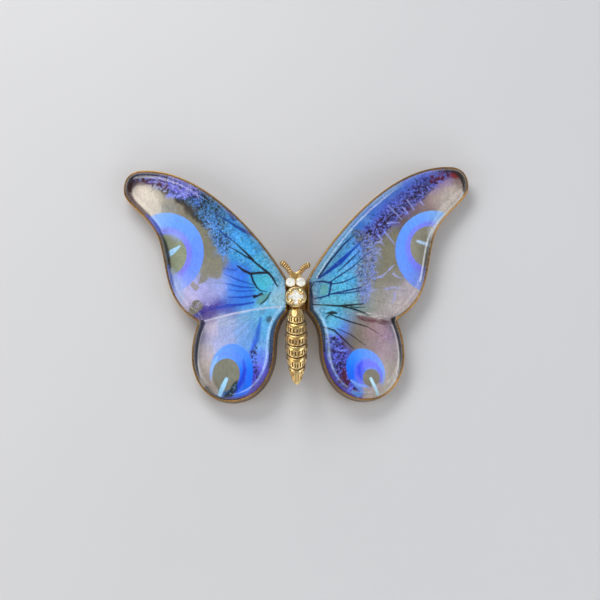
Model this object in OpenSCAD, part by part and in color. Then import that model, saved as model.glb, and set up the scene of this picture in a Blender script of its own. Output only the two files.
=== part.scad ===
// Butterfly brooch: two bezel-set wings with picture inlays under clear domes,
// a cast gilt body set with three stones, and a pin with a turning safety catch.
// It lies face up: X along the wings, +Y to the head, Z = 0 where the wings touch down.

/* [Wings] */
// Angle at which each wing falls away from the body
droop = 11; // [8:1:12]
// Angle at which the wings rise towards the head
pitch = 4.2; // [3:0.1:5]
// Height of the bezel wall
wall_h = 2.3; // [1.8:0.1:2.8]
// Thickness of the bezel wall
rim_t = 0.3; // [0.2:0.05:0.4]
// Thickness of the back plate
plate_t = 0.4; // [0.3:0.05:0.6]
// Thickness of the picture inlay
inlay_t = 0.15; // [0.1:0.05:0.3]
// Height of the dome's crown above the bezel's rim
dome_rise = 1.7; // [1.4:0.1:2.2]

/* [Body] */
// Sideways place of the body between the wings
body_x = -0.25; // [-0.3:0.05:0.3]
// Radius of the thorax stone
stone_r = 1.35; // [1.2:0.05:1.4]
// Outer radius of the thorax collet
collet_r = 1.85; // [1.75:0.05:1.9]
// Radius of one bead prong
bead_r = 0.35; // [0.25:0.05:0.4]
// Radius of one eye stone
eye_r = 0.77; // [0.7:0.01:0.8]
// Distance between the eyes' centres
eye_gap = 1.77; // [1.77:0.01:1.9]
// Length of the abdomen
abdomen_l = 13.3; // [11:0.1:14]
// Greatest width of the abdomen
abdomen_w = 3.75; // [3:0.05:4]
// Rings of the abdomen
abdomen_rings = 7; // [5:1:9]

/* [Pin and catch] */
// Height of the pin's centre line above the resting plane
pin_z = 1.3; // [1.25:0.01:1.35]
// Place of the pin along the body
pin_y = -3; // [-3.5:0.5:-2.5]
// Distance from the middle to the hinge's centre
hinge_x = 9.5; // [9:0.1:9.6]
// Radius of the pin stem
pin_r = 0.4; // [0.35:0.01:0.42]
// Radius of the slim end that the catch holds
tip_r = 0.3; // [0.25:0.01:0.32]
// Radius of the hinge rivet
rivet_r = 0.3; // [0.25:0.01:0.35]
// Clearance between parts that turn
run_gap = 0.05; // [0.03:0.01:0.08]
// Distance from the middle to the inner end of the catch
catch_x = 8.3; // [8:0.1:8.4]

/* [Hidden] */

$fn = 48;
eps = 0.01;
brass = "#9a7438";
gilt = "#d9a84e";

// The wing's outline, in the plane of its back, as cubic curves from the root round to
// the root again: along the leading edge, round the tip, down the trailing edge to the
// notch, and round the hindwing. A straight root edge closes it.
wing_curves = [
    [[1.45, -0.15], [5.2, 7.1], [15.8, 21.25], [27.3, 21.25]],
    [[27.3, 21.25], [29.3, 21.25], [30.5, 19.95], [30.45, 17.75]],
    [[30.45, 17.75], [30.4, 14.85], [25.4, 13.05], [24.0, 7.85]],
    [[24.0, 7.85], [22.6, 2.45], [23.4, -2.75], [17.3, -6.65]],
    [[17.3, -6.65], [18.1, -8.55], [18.7, -10.75], [18.65, -13.15]],
    [[18.65, -13.15], [18.5, -17.75], [15.6, -21.05], [11.6, -21.05]],
    [[11.6, -21.05], [7.0, -21.05], [4.3, -16.95], [3.9, -12.75]],
    [[3.9, -12.75], [3.7, -9.35], [3.6, -7.75], [1.45, -5.6]]
];
curve_steps = 10;
// Where the forewing inlay meets the hindwing inlay, from the root to the notch
seam = [[-1, -4.4], [2.7, -4.5], [7.2, -4.7], [17.3, -6.65]];
// A point that sees the whole outline
wing_heart = [6, -5];

function bezier(c, t) = pow(1 - t, 3) * c[0] + 3 * pow(1 - t, 2) * t * c[1]
                      + 3 * (1 - t) * t * t * c[2] + pow(t, 3) * c[3];
root_end = wing_curves[len(wing_curves) - 1][3];
outline = concat([for (c = wing_curves) for (k = [0 : curve_steps - 1]) bezier(c, k / curve_steps)],
                 [root_end]);
n_edge = len(outline);

// The unit normal, into the wing, of the edge from a to b
function inward(a, b) = [b.y - a.y, a.x - b.x] / norm(b - a);
// The outline moved inwards by d, with mitred corners
function inset(d) = [for (i = [0 : n_edge - 1])
    let (p = outline[i],
         m = inward(outline[(i + n_edge - 1) % n_edge], p),
         n = inward(p, outline[(i + 1) % n_edge]))
    p + d * (m + n) / (1 + m * n)];

// Height of the wings' frame, so that their lowest points touch Z = 0
lift = max([for (p = outline) p.x * sin(droop) - p.y * sin(pitch) * cos(droop)]);

// Heights of the body's pieces
block_top = 3.85;
block_h = 0.55;
cup_z = 6.7;
cup_h = 1.3;
cup_top = cup_z + cup_h;
head_z = 6.6;
head_h = 0.4;
eye_z = head_z + head_h;
eye_h = 0.75;
thorax_y = -3.75;
head_y = -1.05;
post_r = 0.85;
stem_r = 0.6;
abdomen_y = thorax_y - collet_r - 0.1;
abdomen_z = 6;
abdomen_back = 0.8;
antenna_z = 6.95;
antenna_base_r = 0.26;
antenna_tip_r = 0.42;
// Each antenna's course in plan, from the head outwards
antenna_left_path = [[-0.85, -0.3], [-1.2, 1.3], [-1.8, 2.1], [-2.85, 2.85]];
antenna_right_path = [[0.2, -0.3], [0.6, 1.2], [1.1, 2.1], [2.35, 2.25]];

// Hinge and catch
ear_t = 0.35;
ear_gap = 1.1;
ear_r = 0.7;
knuckle_r = 0.65;
pad_t = 0.4;
shoulder_r = 0.6;
shoulder_l = 0.55;
hinge_pad = 2;
catch_pad = 1.7;
pin_y_half = 1.4;
catch_l = 1.8;
catch_out_r = 1.05;
catch_in_r = 0.75;
flange_t = 0.3;
flange_r = 0.85;
lever_r = 1.9;
lever_w = 0.8;

// ---- shared shapes

// Lays children drawn on the right wing's back plane into place
module on_wing() {
    translate([0, 0, lift]) rotate([pitch, droop, 0]) children();
}

module left_side() {
    mirror([1, 0, 0]) children();
}

// A slab of the wing's outline, moved in by d, from height z to z + h
module wing_slab(d, z, h) {
    translate([0, 0, z]) linear_extrude(h) polygon(inset(d));
}

// A closed skin over rings of n points each, with a point that closes each end
module ringed(rings, low, high) {
    n = len(rings[0]);
    last = len(rings) - 1;
    pts = concat([for (r = rings) each r], [low, high]);
    low_i = n * (last + 1);
    sides = [for (i = [0 : last - 1]) for (k = [0 : n - 1])
        let (a = i * n + k, b = i * n + (k + 1) % n)
        each [[a, b, b + n], [a, b + n, a + n]]];
    ends = [for (k = [0 : n - 1]) each [
        [low_i, (k + 1) % n, k],
        [low_i + 1, last * n + k, last * n + (k + 1) % n]]];
    polyhedron(points = pts, faces = concat(sides, ends));
}

// A brilliant-cut stone: a point below, a girdle, a sloping crown and a flat table
module brilliant(r) {
    translate([0, 0, -0.75 * r]) cylinder(h = 0.75 * r, r1 = 0.02, r2 = r);
    cylinder(h = 0.06 * r, r = r);
    translate([0, 0, 0.06 * r]) cylinder(h = 0.28 * r, r1 = r, r2 = 0.58 * r);
}

// The conical seat that a brilliant of radius r drops into, open upwards by h
module seat(r, h) {
    translate([0, 0, -0.75 * r - 0.03]) cylinder(h = 0.75 * r + 0.03, r1 = 0.04, r2 = r + 0.02);
    translate([0, 0, -eps]) cylinder(h = h + eps, r = r + 0.02);
}

// ---- wings, drawn for the right side

module back_plate() {
    color(brass) on_wing() wing_slab(rim_t, 0, plate_t);
}

module bezel() {
    color(brass) on_wing() difference() {
        wing_slab(0, 0, wall_h);
        wing_slab(rim_t, -1, wall_h + 2);
    }
}

// side = 1 keeps the forewing's part of the inlay, -1 the hindwing's
module inlay(side) {
    far = 40;
    region = concat(seam, [[far, seam[3].y], [far, side * far], [-far, side * far], [-far, seam[0].y]]);
    on_wing() intersection() {
        wing_slab(rim_t, plate_t, inlay_t);
        linear_extrude(wall_h) polygon(region);
    }
}

module forewing_inlay() {
    color("#4fa3dc") inlay(1);
}

module hindwing_inlay() {
    color("#7f8fdc") inlay(-1);
}

// The clear dome fills the bezel and stands above it with a rounded shoulder
module dome() {
    shoulder = [[0, 0], [0.1, 0.3], [0.35, 0.6], [0.8, 0.82], [1.4, 0.93]];
    floor_z = plate_t + inlay_t;
    rings = concat([[for (p = inset(rim_t)) [p.x, p.y, floor_z]]],
                   [for (s = shoulder) [for (p = inset(rim_t + s[0])) [p.x, p.y, wall_h + dome_rise * s[1]]]]);
    color("#cfe4f5", 0.4) on_wing()
        ringed(rings, [wing_heart.x, wing_heart.y, floor_z],
               [wing_heart.x, wing_heart.y, wall_h + dome_rise]);
}

// ---- body

// A block between the wings, with a flap soldered under each wing's root
module bridge_plate() {
    color(brass) {
        translate([-1.4, -5.2, block_top - block_h]) cube([2.8, 4.9, block_h]);
        for (s = [0, 1]) mirror([s, 0, 0]) on_wing()
            translate([1.25, -5.2, -0.5]) cube([4.25, 4.2, 0.5]);
    }
}

module thorax_collet() {
    color(gilt) translate([body_x, thorax_y, 0]) difference() {
        union() {
            translate([0, 0, block_top]) cylinder(h = cup_z - block_top + 0.1, r = post_r);
            translate([0, 0, cup_z]) rotate_extrude() polygon([
                [0, 0], [1.15, 0], [1.55, 0.15], [collet_r - 0.06, 0.4], [collet_r, 0.7],
                [collet_r - 0.04, 1.0], [collet_r - 0.14, cup_h], [0, cup_h]]);
        }
        translate([0, 0, cup_top - 0.3]) seat(stone_r, 1);
    }
}

module thorax_stone() {
    color("white") translate([body_x, thorax_y, cup_top - 0.3]) brilliant(stone_r);
}

// Four bead prongs that stand on the collet's rim and hold the stone
module thorax_beads() {
    color(gilt) translate([body_x, thorax_y, cup_top]) for (a = [45 : 90 : 315])
        rotate(a) translate([1.52, 0, 0]) intersection() {
            sphere(r = bead_r);
            translate([-1, -1, 0]) cube(2);
        }
}

// The head carries both eye collets, and a web in front of them joins the antennae
module head() {
    color(gilt) {
        translate([body_x, head_y, block_top]) cylinder(h = head_z - block_top + 0.1, r = stem_r);
        translate([body_x, head_y, head_z]) linear_extrude(head_h) {
            for (s = [-1, 1]) translate([s * eye_gap / 2, 0]) circle(r = 0.8);
            translate([-eye_gap / 2, -0.6]) square([eye_gap, 1.2]);
            polygon([[-0.7, 0.4], [0.6, 0.4], [0.4, 1.2], [-0.05, 1.75], [-0.6, 1.2]]);
        }
    }
}

module eye_collet(side) {
    outer = eye_gap / 2 - 0.005;
    color(gilt) translate([body_x + side * eye_gap / 2, head_y, eye_z]) difference() {
        rotate_extrude() polygon([
            [0, 0], [outer - 0.1, 0], [outer, 0.25], [outer, eye_h - 0.1], [outer - 0.04, eye_h], [0, eye_h]]);
        translate([0, 0, eye_h - 0.1]) seat(eye_r, 1);
    }
}

module eye_stone(side) {
    color("white") translate([body_x + side * eye_gap / 2, head_y, eye_z + eye_h - 0.1]) brilliant(eye_r);
}

// A ridged rod along a curve in plan, thicker towards its blunt end
module antenna(path) {
    rings_n = 36;
    sides_n = 12;
    ridges = 11;
    rings = [for (i = [0 : rings_n])
        let (t = i / rings_n,
             c = bezier(path, t),
             d = bezier(path, t + 0.01) - bezier(path, t - 0.01),
             across = [d.y, -d.x] / norm(d),
             bulge = 0.03 * cos(360 * ridges * t),
             end = i == rings_n ? 0.7 : 1,
             r = end * (antenna_base_r + (antenna_tip_r - antenna_base_r) * t + bulge))
        [for (k = [0 : sides_n - 1])
            let (a = -360 * k / sides_n)
            [c.x + r * cos(a) * across.x, c.y + r * cos(a) * across.y, antenna_z + r * sin(a)]]];
    start = bezier(path, 0);
    stop = bezier(path, 1.02);
    color(gilt) ringed(rings, [start.x, start.y, antenna_z], [stop.x, stop.y, antenna_z]);
}

// A round tapering tail in rings, cut flat behind, with a tongue up to the thorax post
module abdomen() {
    steps = 8;
    half_w = [[0, 1.25], [0.3, 2.3], [0.75, 1.9], [1, 0.05]];
    prof = [for (i = [0 : abdomen_rings * steps])
        let (t = i / (abdomen_rings * steps),
             groove = 0.09 * pow(abs(cos(180 * abdomen_rings * t)), 6),
             r = bezier(half_w, t).y * abdomen_w / 3.75)
        [max(r - (t > 0.9 ? 0 : groove), 0.05), t * abdomen_l]];
    color(gilt) difference() {
        union() {
            translate([body_x, abdomen_y, abdomen_z]) rotate([90, 0, 0]) rotate_extrude()
                polygon(concat([[0, 0]], prof, [[0, abdomen_l]]));
            translate([body_x - 0.7, abdomen_y - 0.5, abdomen_z - 0.6]) cube([1.4, 1.9, 1]);
        }
        translate([body_x - 5, abdomen_y - abdomen_l - 1, abdomen_z - abdomen_back - 5])
            cube([10, abdomen_l + 2, 5]);
        translate([body_x, thorax_y, 0]) cylinder(h = cup_z, r = post_r);
    }
}

// ---- pin and catch

// A pad soldered under a wing, drawn for the right side, around the distance x
module pad(x, length) {
    on_wing() translate([x - length / 2, pin_y - pin_y_half, -pad_t])
        cube([length, 2 * pin_y_half, pad_t]);
}

module hinge_bracket() {
    color(brass) {
        left_side() pad(hinge_x, hinge_pad);
        for (s = [-1, 1]) translate([-hinge_x, pin_y + s * (ear_gap + ear_t) / 2, pin_z]) difference() {
            union() {
                rotate([90, 0, 0]) cylinder(h = ear_t, r = ear_r, center = true);
                translate([-ear_r, -ear_t / 2, 0]) cube([2 * ear_r, ear_t, 1.05]);
            }
            rotate([90, 0, 0]) cylinder(h = 2, r = rivet_r, center = true);
        }
    }
}

module hinge_rivet() {
    half = ear_gap / 2 + ear_t;
    color(brass) translate([-hinge_x, pin_y, pin_z]) rotate([90, 0, 0]) {
        cylinder(h = 2 * half, r = rivet_r, center = true);
        for (s = [-1, 1]) translate([0, 0, s * (half + 0.075)])
            cylinder(h = 0.15, r = rivet_r + 0.2, center = true);
    }
}

// A knuckle on the rivet, a shoulder, the stem, and a slim end with a sharp point
module pin_stem() {
    slim_from = catch_x - 1.8;
    slim_to = catch_x + catch_l + 0.5;
    color("silver") translate([0, pin_y, pin_z]) difference() {
        union() {
            translate([-hinge_x, 0, 0]) rotate([90, 0, 0])
                cylinder(h = ear_gap - 2 * run_gap, r = knuckle_r, center = true);
            rotate([0, 90, 0]) {
                translate([0, 0, ear_r + run_gap - hinge_x]) cylinder(h = shoulder_l, r = shoulder_r);
                translate([0, 0, -hinge_x]) cylinder(h = slim_from + hinge_x, r = pin_r);
                translate([0, 0, slim_from]) cylinder(h = 1, r1 = pin_r, r2 = tip_r);
                translate([0, 0, slim_from + 1]) cylinder(h = slim_to - slim_from - 1, r = tip_r);
                translate([0, 0, slim_to]) cylinder(h = 0.9, r1 = tip_r, r2 = 0.04);
            }
        }
        translate([-hinge_x, 0, 0]) rotate([90, 0, 0])
            cylinder(h = 2, r = rivet_r + run_gap, center = true);
    }
}

// A tube open downwards, on a pad under the right wing
module catch_housing() {
    mouth = 2 * tip_r + 0.2;
    color(brass) difference() {
        union() {
            pad(catch_x + catch_l / 2, catch_pad);
            translate([catch_x, pin_y, pin_z]) rotate([0, 90, 0]) cylinder(h = catch_l, r = catch_out_r);
            translate([catch_x, pin_y - 0.5, pin_z + 0.8]) cube([catch_l, 1, 0.28]);
        }
        translate([catch_x - 1, pin_y, pin_z]) rotate([0, 90, 0]) cylinder(h = catch_l + 2, r = catch_in_r);
        translate([catch_x - 1, pin_y - mouth / 2, pin_z - 2]) cube([catch_l + 2, mouth, 2]);
    }
}

// A slotted barrel that turns in the housing, with a collar at each end and a thumb lever
module catch_rotor() {
    slot_r = tip_r + run_gap;
    collar = catch_x + catch_l + run_gap;
    color("silver") translate([0, pin_y, pin_z]) difference() {
        union() {
            rotate([0, 90, 0]) {
                translate([0, 0, catch_x - run_gap - flange_t])
                    cylinder(h = catch_l + 2 * (run_gap + flange_t), r = catch_in_r - run_gap);
                translate([0, 0, catch_x - run_gap - flange_t]) cylinder(h = flange_t, r = flange_r);
                translate([0, 0, collar]) cylinder(h = flange_t, r = flange_r);
            }
            translate([collar, -lever_r, -lever_w / 2]) cube([flange_t, lever_r - 0.5, lever_w]);
        }
        translate([catch_x - 1, 0, 0]) rotate([0, 90, 0]) cylinder(h = catch_l + 3, r = slot_r);
        translate([catch_x - 1, -slot_r, -2]) cube([catch_l + 3, 2 * slot_r, 2]);
    }
}

left_side() back_plate();  // back_plate_left
back_plate();  // back_plate_right
left_side() bezel();  // bezel_left
bezel();  // bezel_right
left_side() forewing_inlay();  // forewing_inlay_left
forewing_inlay();  // forewing_inlay_right
left_side() hindwing_inlay();  // hindwing_inlay_left
hindwing_inlay();  // hindwing_inlay_right
left_side() dome();  // dome_left
dome();  // dome_right
bridge_plate();
thorax_collet();
thorax_stone();
thorax_beads();
head();
eye_collet(-1);  // eye_collet_left
eye_collet(1);  // eye_collet_right
eye_stone(-1);  // eye_stone_left
eye_stone(1);  // eye_stone_right
antenna(antenna_left_path);  // antenna_left
antenna(antenna_right_path);  // antenna_right
abdomen();
hinge_bracket();
hinge_rivet();
pin_stem();
catch_housing();
catch_rotor();
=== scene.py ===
import math

import bpy
import numpy as np
from mathutils import Matrix


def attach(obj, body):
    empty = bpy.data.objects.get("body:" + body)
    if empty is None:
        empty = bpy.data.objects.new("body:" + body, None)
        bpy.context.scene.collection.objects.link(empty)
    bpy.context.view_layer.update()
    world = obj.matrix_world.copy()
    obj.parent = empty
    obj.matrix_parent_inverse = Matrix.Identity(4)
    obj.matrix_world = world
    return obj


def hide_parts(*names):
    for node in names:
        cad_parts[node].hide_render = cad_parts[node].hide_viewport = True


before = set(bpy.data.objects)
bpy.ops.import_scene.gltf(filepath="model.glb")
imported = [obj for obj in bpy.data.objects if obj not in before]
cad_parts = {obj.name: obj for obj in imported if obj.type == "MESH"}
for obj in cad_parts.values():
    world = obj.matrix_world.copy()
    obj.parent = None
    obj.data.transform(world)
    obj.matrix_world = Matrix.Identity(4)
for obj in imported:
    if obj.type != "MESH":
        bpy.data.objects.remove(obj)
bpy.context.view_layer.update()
mm = 0.001

# How a wing lies, as the CAD has it: angles in degrees, lengths in millimetres
wing = {
    "droop": 11.0,
    "pitch": 4.2,
    "wall": 2.3,         # height of the bezel
    "rim": 0.3,          # thickness of its wall
    "inlayFloor": 0.4,
    "inlayTop": 0.55,
    "domeRise": 1.7,
    "seam": [(-1, -4.4), (2.7, -4.5), (7.2, -4.7), (17.3, -6.65)],   # where forewing and hindwing meet
    "heart": (6.0, -5.0),                     # sees the whole outline
    "curves": [
        [(1.45, -0.15), (5.2, 7.1), (15.8, 21.25), (27.3, 21.25)],
        [(27.3, 21.25), (29.3, 21.25), (30.5, 19.95), (30.45, 17.75)],
        [(30.45, 17.75), (30.4, 14.85), (25.4, 13.05), (24.0, 7.85)],
        [(24.0, 7.85), (22.6, 2.45), (23.4, -2.75), (17.3, -6.65)],
        [(17.3, -6.65), (18.1, -8.55), (18.7, -10.75), (18.65, -13.15)],
        [(18.65, -13.15), (18.5, -17.75), (15.6, -21.05), (11.6, -21.05)],
        [(11.6, -21.05), (7.0, -21.05), (4.3, -16.95), (3.9, -12.75)],
        [(3.9, -12.75), (3.7, -9.35), (3.6, -7.75), (1.45, -5.6)],
    ],
}


# A point of a cubic curve: the four control points weighted by the Bernstein terms of t
def bezier(c, t):
    c = np.asarray(c, float)
    t = np.asarray(t, float)[..., None]
    return (1 - t) ** 3 * c[0] + 3 * (1 - t) ** 2 * t * c[1] + 3 * (1 - t) * t * t * c[2] + t ** 3 * c[3]


# A closed line resampled to n points at equal distances, keeping its corners where they are near
def evenly(points, n):
    ring = np.vstack([points, points[:1]])
    run = np.r_[0, np.cumsum(np.linalg.norm(np.diff(ring, axis=0), axis=1))]
    at = np.linspace(0, run[-1], n, endpoint=False)
    return np.stack([np.interp(at, run, ring[:, k]) for k in (0, 1)], 1)


# The outline: its curves one after the other, and the straight root edge
def wingOutline(n):
    t = np.linspace(0, 1, 120, endpoint=False)
    parts = [bezier(c, t) for c in wing["curves"]]
    root = np.linspace(0, 1, 30, endpoint=False)[:, None]
    start, stop = np.array(wing["curves"][-1][3]), np.array(wing["curves"][0][0])
    return evenly(np.vstack(parts + [start + (stop - start) * root]), n)


# The outline moved in by d along the normals, each taken across the two neighbouring points
def inset(ring, d):
    ahead = np.roll(ring, -1, 0) - ring
    behind = ring - np.roll(ring, 1, 0)
    a = np.stack([ahead[:, 1], -ahead[:, 0]], 1) / np.linalg.norm(ahead, axis=1)[:, None]
    b = np.stack([behind[:, 1], -behind[:, 0]], 1) / np.linalg.norm(behind, axis=1)[:, None]
    return ring + d * (a + b) / np.maximum(1 + (a * b).sum(1), 0.3)[:, None]


outline = wingOutline(900)
droop, pitch = math.radians(wing["droop"]), math.radians(wing["pitch"])
lift = (outline[:, 0] * math.sin(droop) - outline[:, 1] * math.sin(pitch) * math.cos(droop)).max()


# From the wing's plane (u outwards, v to the head, w up, in mm) to the brooch in metres: turned by
# pitch about X, by droop about Y, raised by lift, and mirrored for the left wing (side -1)
def onWing(u, v, w, side):
    k = v * math.sin(pitch) + w * math.cos(pitch)
    x = u * math.cos(droop) + k * math.sin(droop)
    z = -u * math.sin(droop) + k * math.cos(droop) + lift
    y = v * math.cos(pitch) - w * math.sin(pitch)
    return np.stack([side * x, y, z], -1) * mm


# Makes a mesh object from points and a list of face arrays, each with 3 or 4 corners a face
def makePiece(name, points, faces, material, body="brooch", slot=None, smooth=True, flip=False):
    mesh = bpy.data.meshes.new(name)
    sizes = np.concatenate([np.full(len(f), f.shape[1]) for f in faces])
    corners = np.concatenate([(f[:, ::-1] if flip else f).ravel() for f in faces])
    mesh.vertices.add(len(points))
    mesh.vertices.foreach_set("co", np.asarray(points, np.float32).ravel())
    mesh.loops.add(len(corners))
    mesh.loops.foreach_set("vertex_index", corners.astype(np.int32))
    mesh.polygons.add(len(sizes))
    mesh.polygons.foreach_set("loop_start", (np.cumsum(sizes) - sizes).astype(np.int32))
    mesh.polygons.foreach_set("use_smooth", np.full(len(sizes), smooth))
    mesh.update(calc_edges=True)
    mesh.validate()
    piece = bpy.data.objects.new(name, mesh)
    bpy.context.collection.objects.link(piece)
    mesh.materials.append(material)
    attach(piece, body)
    return piece


# Quads over a grid of rows by columns, wrapping round where asked
def gridFaces(rows, cols, wrapRows=False, wrapCols=False, start=0):
    r = np.arange(rows if wrapRows else rows - 1)
    c = np.arange(cols if wrapCols else cols - 1)
    r, c = np.meshgrid(r, c, indexing="ij")
    r2, c2 = (r + 1) % rows, (c + 1) % cols
    return np.stack([r * cols + c, r * cols + c2, r2 * cols + c2, r2 * cols + c], -1).reshape(-1, 4) + start


# Triangles from one point to a ring of n points that begins at first
def fanFaces(centre, first, n, turned=False):
    k = np.arange(n)
    fan = np.stack([np.full(n, centre), first + k, first + (k + 1) % n], 1)
    return fan[:, ::-1] if turned else fan


# Faces of m rings of n points, closed at both ends by fans to the two points that follow the rings
def closedFaces(m, n):
    return [gridFaces(m, n, wrapCols=True), fanFaces(m * n, 0, n, turned=True),
            fanFaces(m * n + 1, (m - 1) * n, n)]


# The painted colour of each point of a piece, in linear light
def setPaint(piece, values):
    layer = piece.data.color_attributes.new("paint", "FLOAT_COLOR", "POINT")
    full = np.ones((len(piece.data.vertices), 4), np.float32)
    full[:len(values), :values.shape[1]] = values
    layer.data.foreach_set("color", full.ravel())


# How deep each point of a piece lies in its chasing, 0 on the surface to 1 at the bottom; the gilt materials
# darken the colour by it as painted shade
def setRecess(piece, values):
    layer = piece.data.attributes.new("recess", "FLOAT", "POINT")
    full = np.zeros(len(piece.data.vertices), np.float32)
    full[:len(values)] = values
    layer.data.foreach_set("value", full)


# A screen colour from 0 to 255 as linear light
def tint(r, g, b):
    c = np.array([r, g, b], float) / 255
    return np.where(c < 0.04045, c / 12.92, ((c + 0.055) / 1.055) ** 2.4)


class Nodes:
    # The nodes of one new material, with its output ready
    def __init__(self, name):
        self.mat = bpy.data.materials.new(name)
        self.mat.use_nodes = True
        self.tree = self.mat.node_tree
        self.tree.nodes.clear()
        self.out = self.tree.nodes.new("ShaderNodeOutputMaterial")

    # A node of a kind, with its settings; an input goes by its name, or by i and its number
    def add(self, kind, settings=None, **inputs):
        node = self.tree.nodes.new("ShaderNode" + kind)
        for key, value in (settings or {}).items():
            setattr(node, key, value)
        for key, value in inputs.items():
            self.put(node.inputs[int(key[1:]) if key[0] == "i" and key[1:].isdigit() else key], value)
        return node

    # An input takes a link from a socket, or from a node's first output, or else a plain value
    def put(self, socket, value):
        if isinstance(value, bpy.types.NodeSocket):
            self.tree.links.new(value, socket)
        elif isinstance(value, bpy.types.Node):
            self.tree.links.new(value.outputs[0], socket)
        else:
            socket.default_value = value

    # Cloudy noise about 0.5, with scale cells to a metre
    def noise(self, where, scale, detail=3.0, rough=0.5):
        return self.add("TexNoise", Vector=where, Scale=scale, Detail=detail, Roughness=rough)

    # A ramp from one value range to another, clamped
    def ramp(self, value, low, high, toLow=0.0, toHigh=1.0):
        return self.add("MapRange", i0=value, i1=low, i2=high, i3=toLow, i4=toHigh)

    # Colour a turned into b by a factor
    def mixColour(self, factor, a, b, how="MIX"):
        node = self.add("Mix", {"data_type": "RGBA", "blend_type": how}, i0=factor, i6=a, i7=b)
        return node.outputs[2]

    # Links the last shader to the output, and gives the material
    def finish(self, shader):
        self.tree.links.new(shader.outputs[0], self.out.inputs["Surface"])
        return self.mat


# A screen colour as linear light, fully opaque
def colour4(r, g, b):
    return (*tint(r, g, b), 1.0)


# Gilt metal: a base tone clouded by a soft noise, with a painted highlight on its sharp edges and painted
# shade in hollows and wherever the piece's own "recess" value says so, with fine grain in roughness and bump
def giltMaterial(name, look):
    n = Nodes(name)
    where = n.add("TexCoord").outputs["Object"]
    cloud = n.noise(where, look["cloudScale"], 4.0)
    grain = n.noise(where, look["grainScale"], 2.0)
    edge = n.add("NewGeometry").outputs["Pointiness"]
    recess = n.add("Attribute", {"attribute_name": "recess"}).outputs["Fac"]
    shade = n.mixColour(n.ramp(cloud, 0.35, 0.7), colour4(*look["deep"]), colour4(*look["bright"]))
    # painted highlight: sharp edges turn towards the light edge colour
    edgeHighlight = n.mixColour(n.ramp(edge, 0.5, 0.56), shade, colour4(*look["edge"]))
    # painted shade: hollows turn towards the dark hollow colour
    hollowShade = n.mixColour(n.ramp(edge, 0.49, 0.43), edgeHighlight, colour4(*look["hollowShade"]))
    # painted shade: the recess value darkens the piece towards the same dark colour
    recessShade = n.mixColour(n.ramp(recess, 0.0, 1.0), hollowShade, colour4(*look["hollowShade"]))
    rough = n.ramp(grain, 0.3, 0.7, *look["rough"])
    dull = n.add("Math", {"operation": "MULTIPLY_ADD"}, i0=recess, i1=0.3, i2=rough)
    bump = n.add("Bump", Strength=look["bump"], Distance=0.00004, Height=grain)
    return n.finish(n.add("BsdfPrincipled", **{
        "Base Color": recessShade, "Metallic": 1.0, "Roughness": dull, "Normal": bump}))


castGilt = giltMaterial("castGilt", {
    "deep": (236, 184, 98), "bright": (255, 220, 146), "edge": (255, 240, 194), "hollowShade": (88, 50, 10),
    "cloudScale": 900.0, "grainScale": 9000.0, "rough": (0.2, 0.34), "bump": 0.4})
rodGilt = giltMaterial("rodGilt", {
    "deep": (224, 168, 84), "bright": (250, 202, 120), "edge": (255, 232, 176), "hollowShade": (70, 38, 8),
    "cloudScale": 900.0, "grainScale": 9000.0, "rough": (0.22, 0.36), "bump": 0.4})
antiqueBrass = giltMaterial("antiqueBrass", {
    "deep": (122, 84, 36), "bright": (176, 128, 62), "edge": (226, 184, 110), "hollowShade": (70, 46, 20),
    "cloudScale": 500.0, "grainScale": 7000.0, "rough": (0.26, 0.42), "bump": 0.3})
pinSteel = giltMaterial("pinSteel", {
    "deep": (150, 144, 132), "bright": (196, 190, 178), "edge": (228, 224, 214), "hollowShade": (96, 90, 80),
    "cloudScale": 700.0, "grainScale": 12000.0, "rough": (0.2, 0.34), "bump": 0.2})


# Clear glass with a glossy skin; it lets lamp rays straight through, so that the picture below is lit
def clearMaterial(name, look):
    n = Nodes(name)
    where = n.add("TexCoord").outputs["Object"]
    ripple = n.noise(where, look["rippleScale"], 1.0)
    bump = n.add("Bump", Strength=look["ripple"], Distance=0.0002, Height=ripple)
    glass = n.add("BsdfPrincipled", **{
        "Base Color": (*look["tone"], 1.0), "Roughness": look["rough"], "IOR": look["ior"],
        "Transmission Weight": 1.0, "Normal": bump, "Coat Weight": 1.0, "Coat IOR": look["skin"],
        "Coat Roughness": look["haze"], "Coat Normal": bump})
    clear = n.add("BsdfTransparent", Color=(*look["tone"], 1.0))
    path = n.add("LightPath").outputs["Is Shadow Ray"]
    return n.finish(n.add("MixShader", i0=path, i1=glass, i2=clear))


clearDome = clearMaterial("clearDome", {
    "tone": (0.985, 0.992, 1.0), "rough": 0.0, "ior": 1.12,
    "skin": 1.5, "haze": 0.1,             # index and roughness of the glossy skin
    "ripple": 0.006, "rippleScale": 90.0})


# Distance in mm from each point to a polyline, and how far along it the nearest place is (0 to 1)
def toLine(points, line):
    line = np.asarray(line, float)
    best = np.full(len(points), 1e9)
    along = np.zeros(len(points))
    steps = np.linalg.norm(np.diff(line, axis=0), axis=1)
    run = np.r_[0, np.cumsum(steps)] / steps.sum()
    for i, step in enumerate(steps):
        d = (line[i + 1] - line[i]) / step
        rel = points - line[i]
        t = np.clip(rel @ d, 0, step)
        gap = np.linalg.norm(rel - t[:, None] * d, axis=1)
        nearer = gap < best
        best = np.where(nearer, gap, best)
        along = np.where(nearer, run[i] + (run[i + 1] - run[i]) * t / step, along)
    return best, along


# Signed distance in mm to a closed polygon, negative inside, by the even-odd rule
def toPolygon(points, polygon):
    ring = np.asarray(list(polygon) + [polygon[0]], float)
    gap, _ = toLine(points, ring)
    inside = np.zeros(len(points), bool)
    for a, b in zip(ring[:-1], ring[1:]):
        spans = (a[1] > points[:, 1]) != (b[1] > points[:, 1])
        if a[1] != b[1]:
            inside ^= spans & (points[:, 0] < a[0] + (b[0] - a[0]) * (points[:, 1] - a[1]) / (b[1] - a[1]))
    return np.where(inside, -gap, gap)


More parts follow.
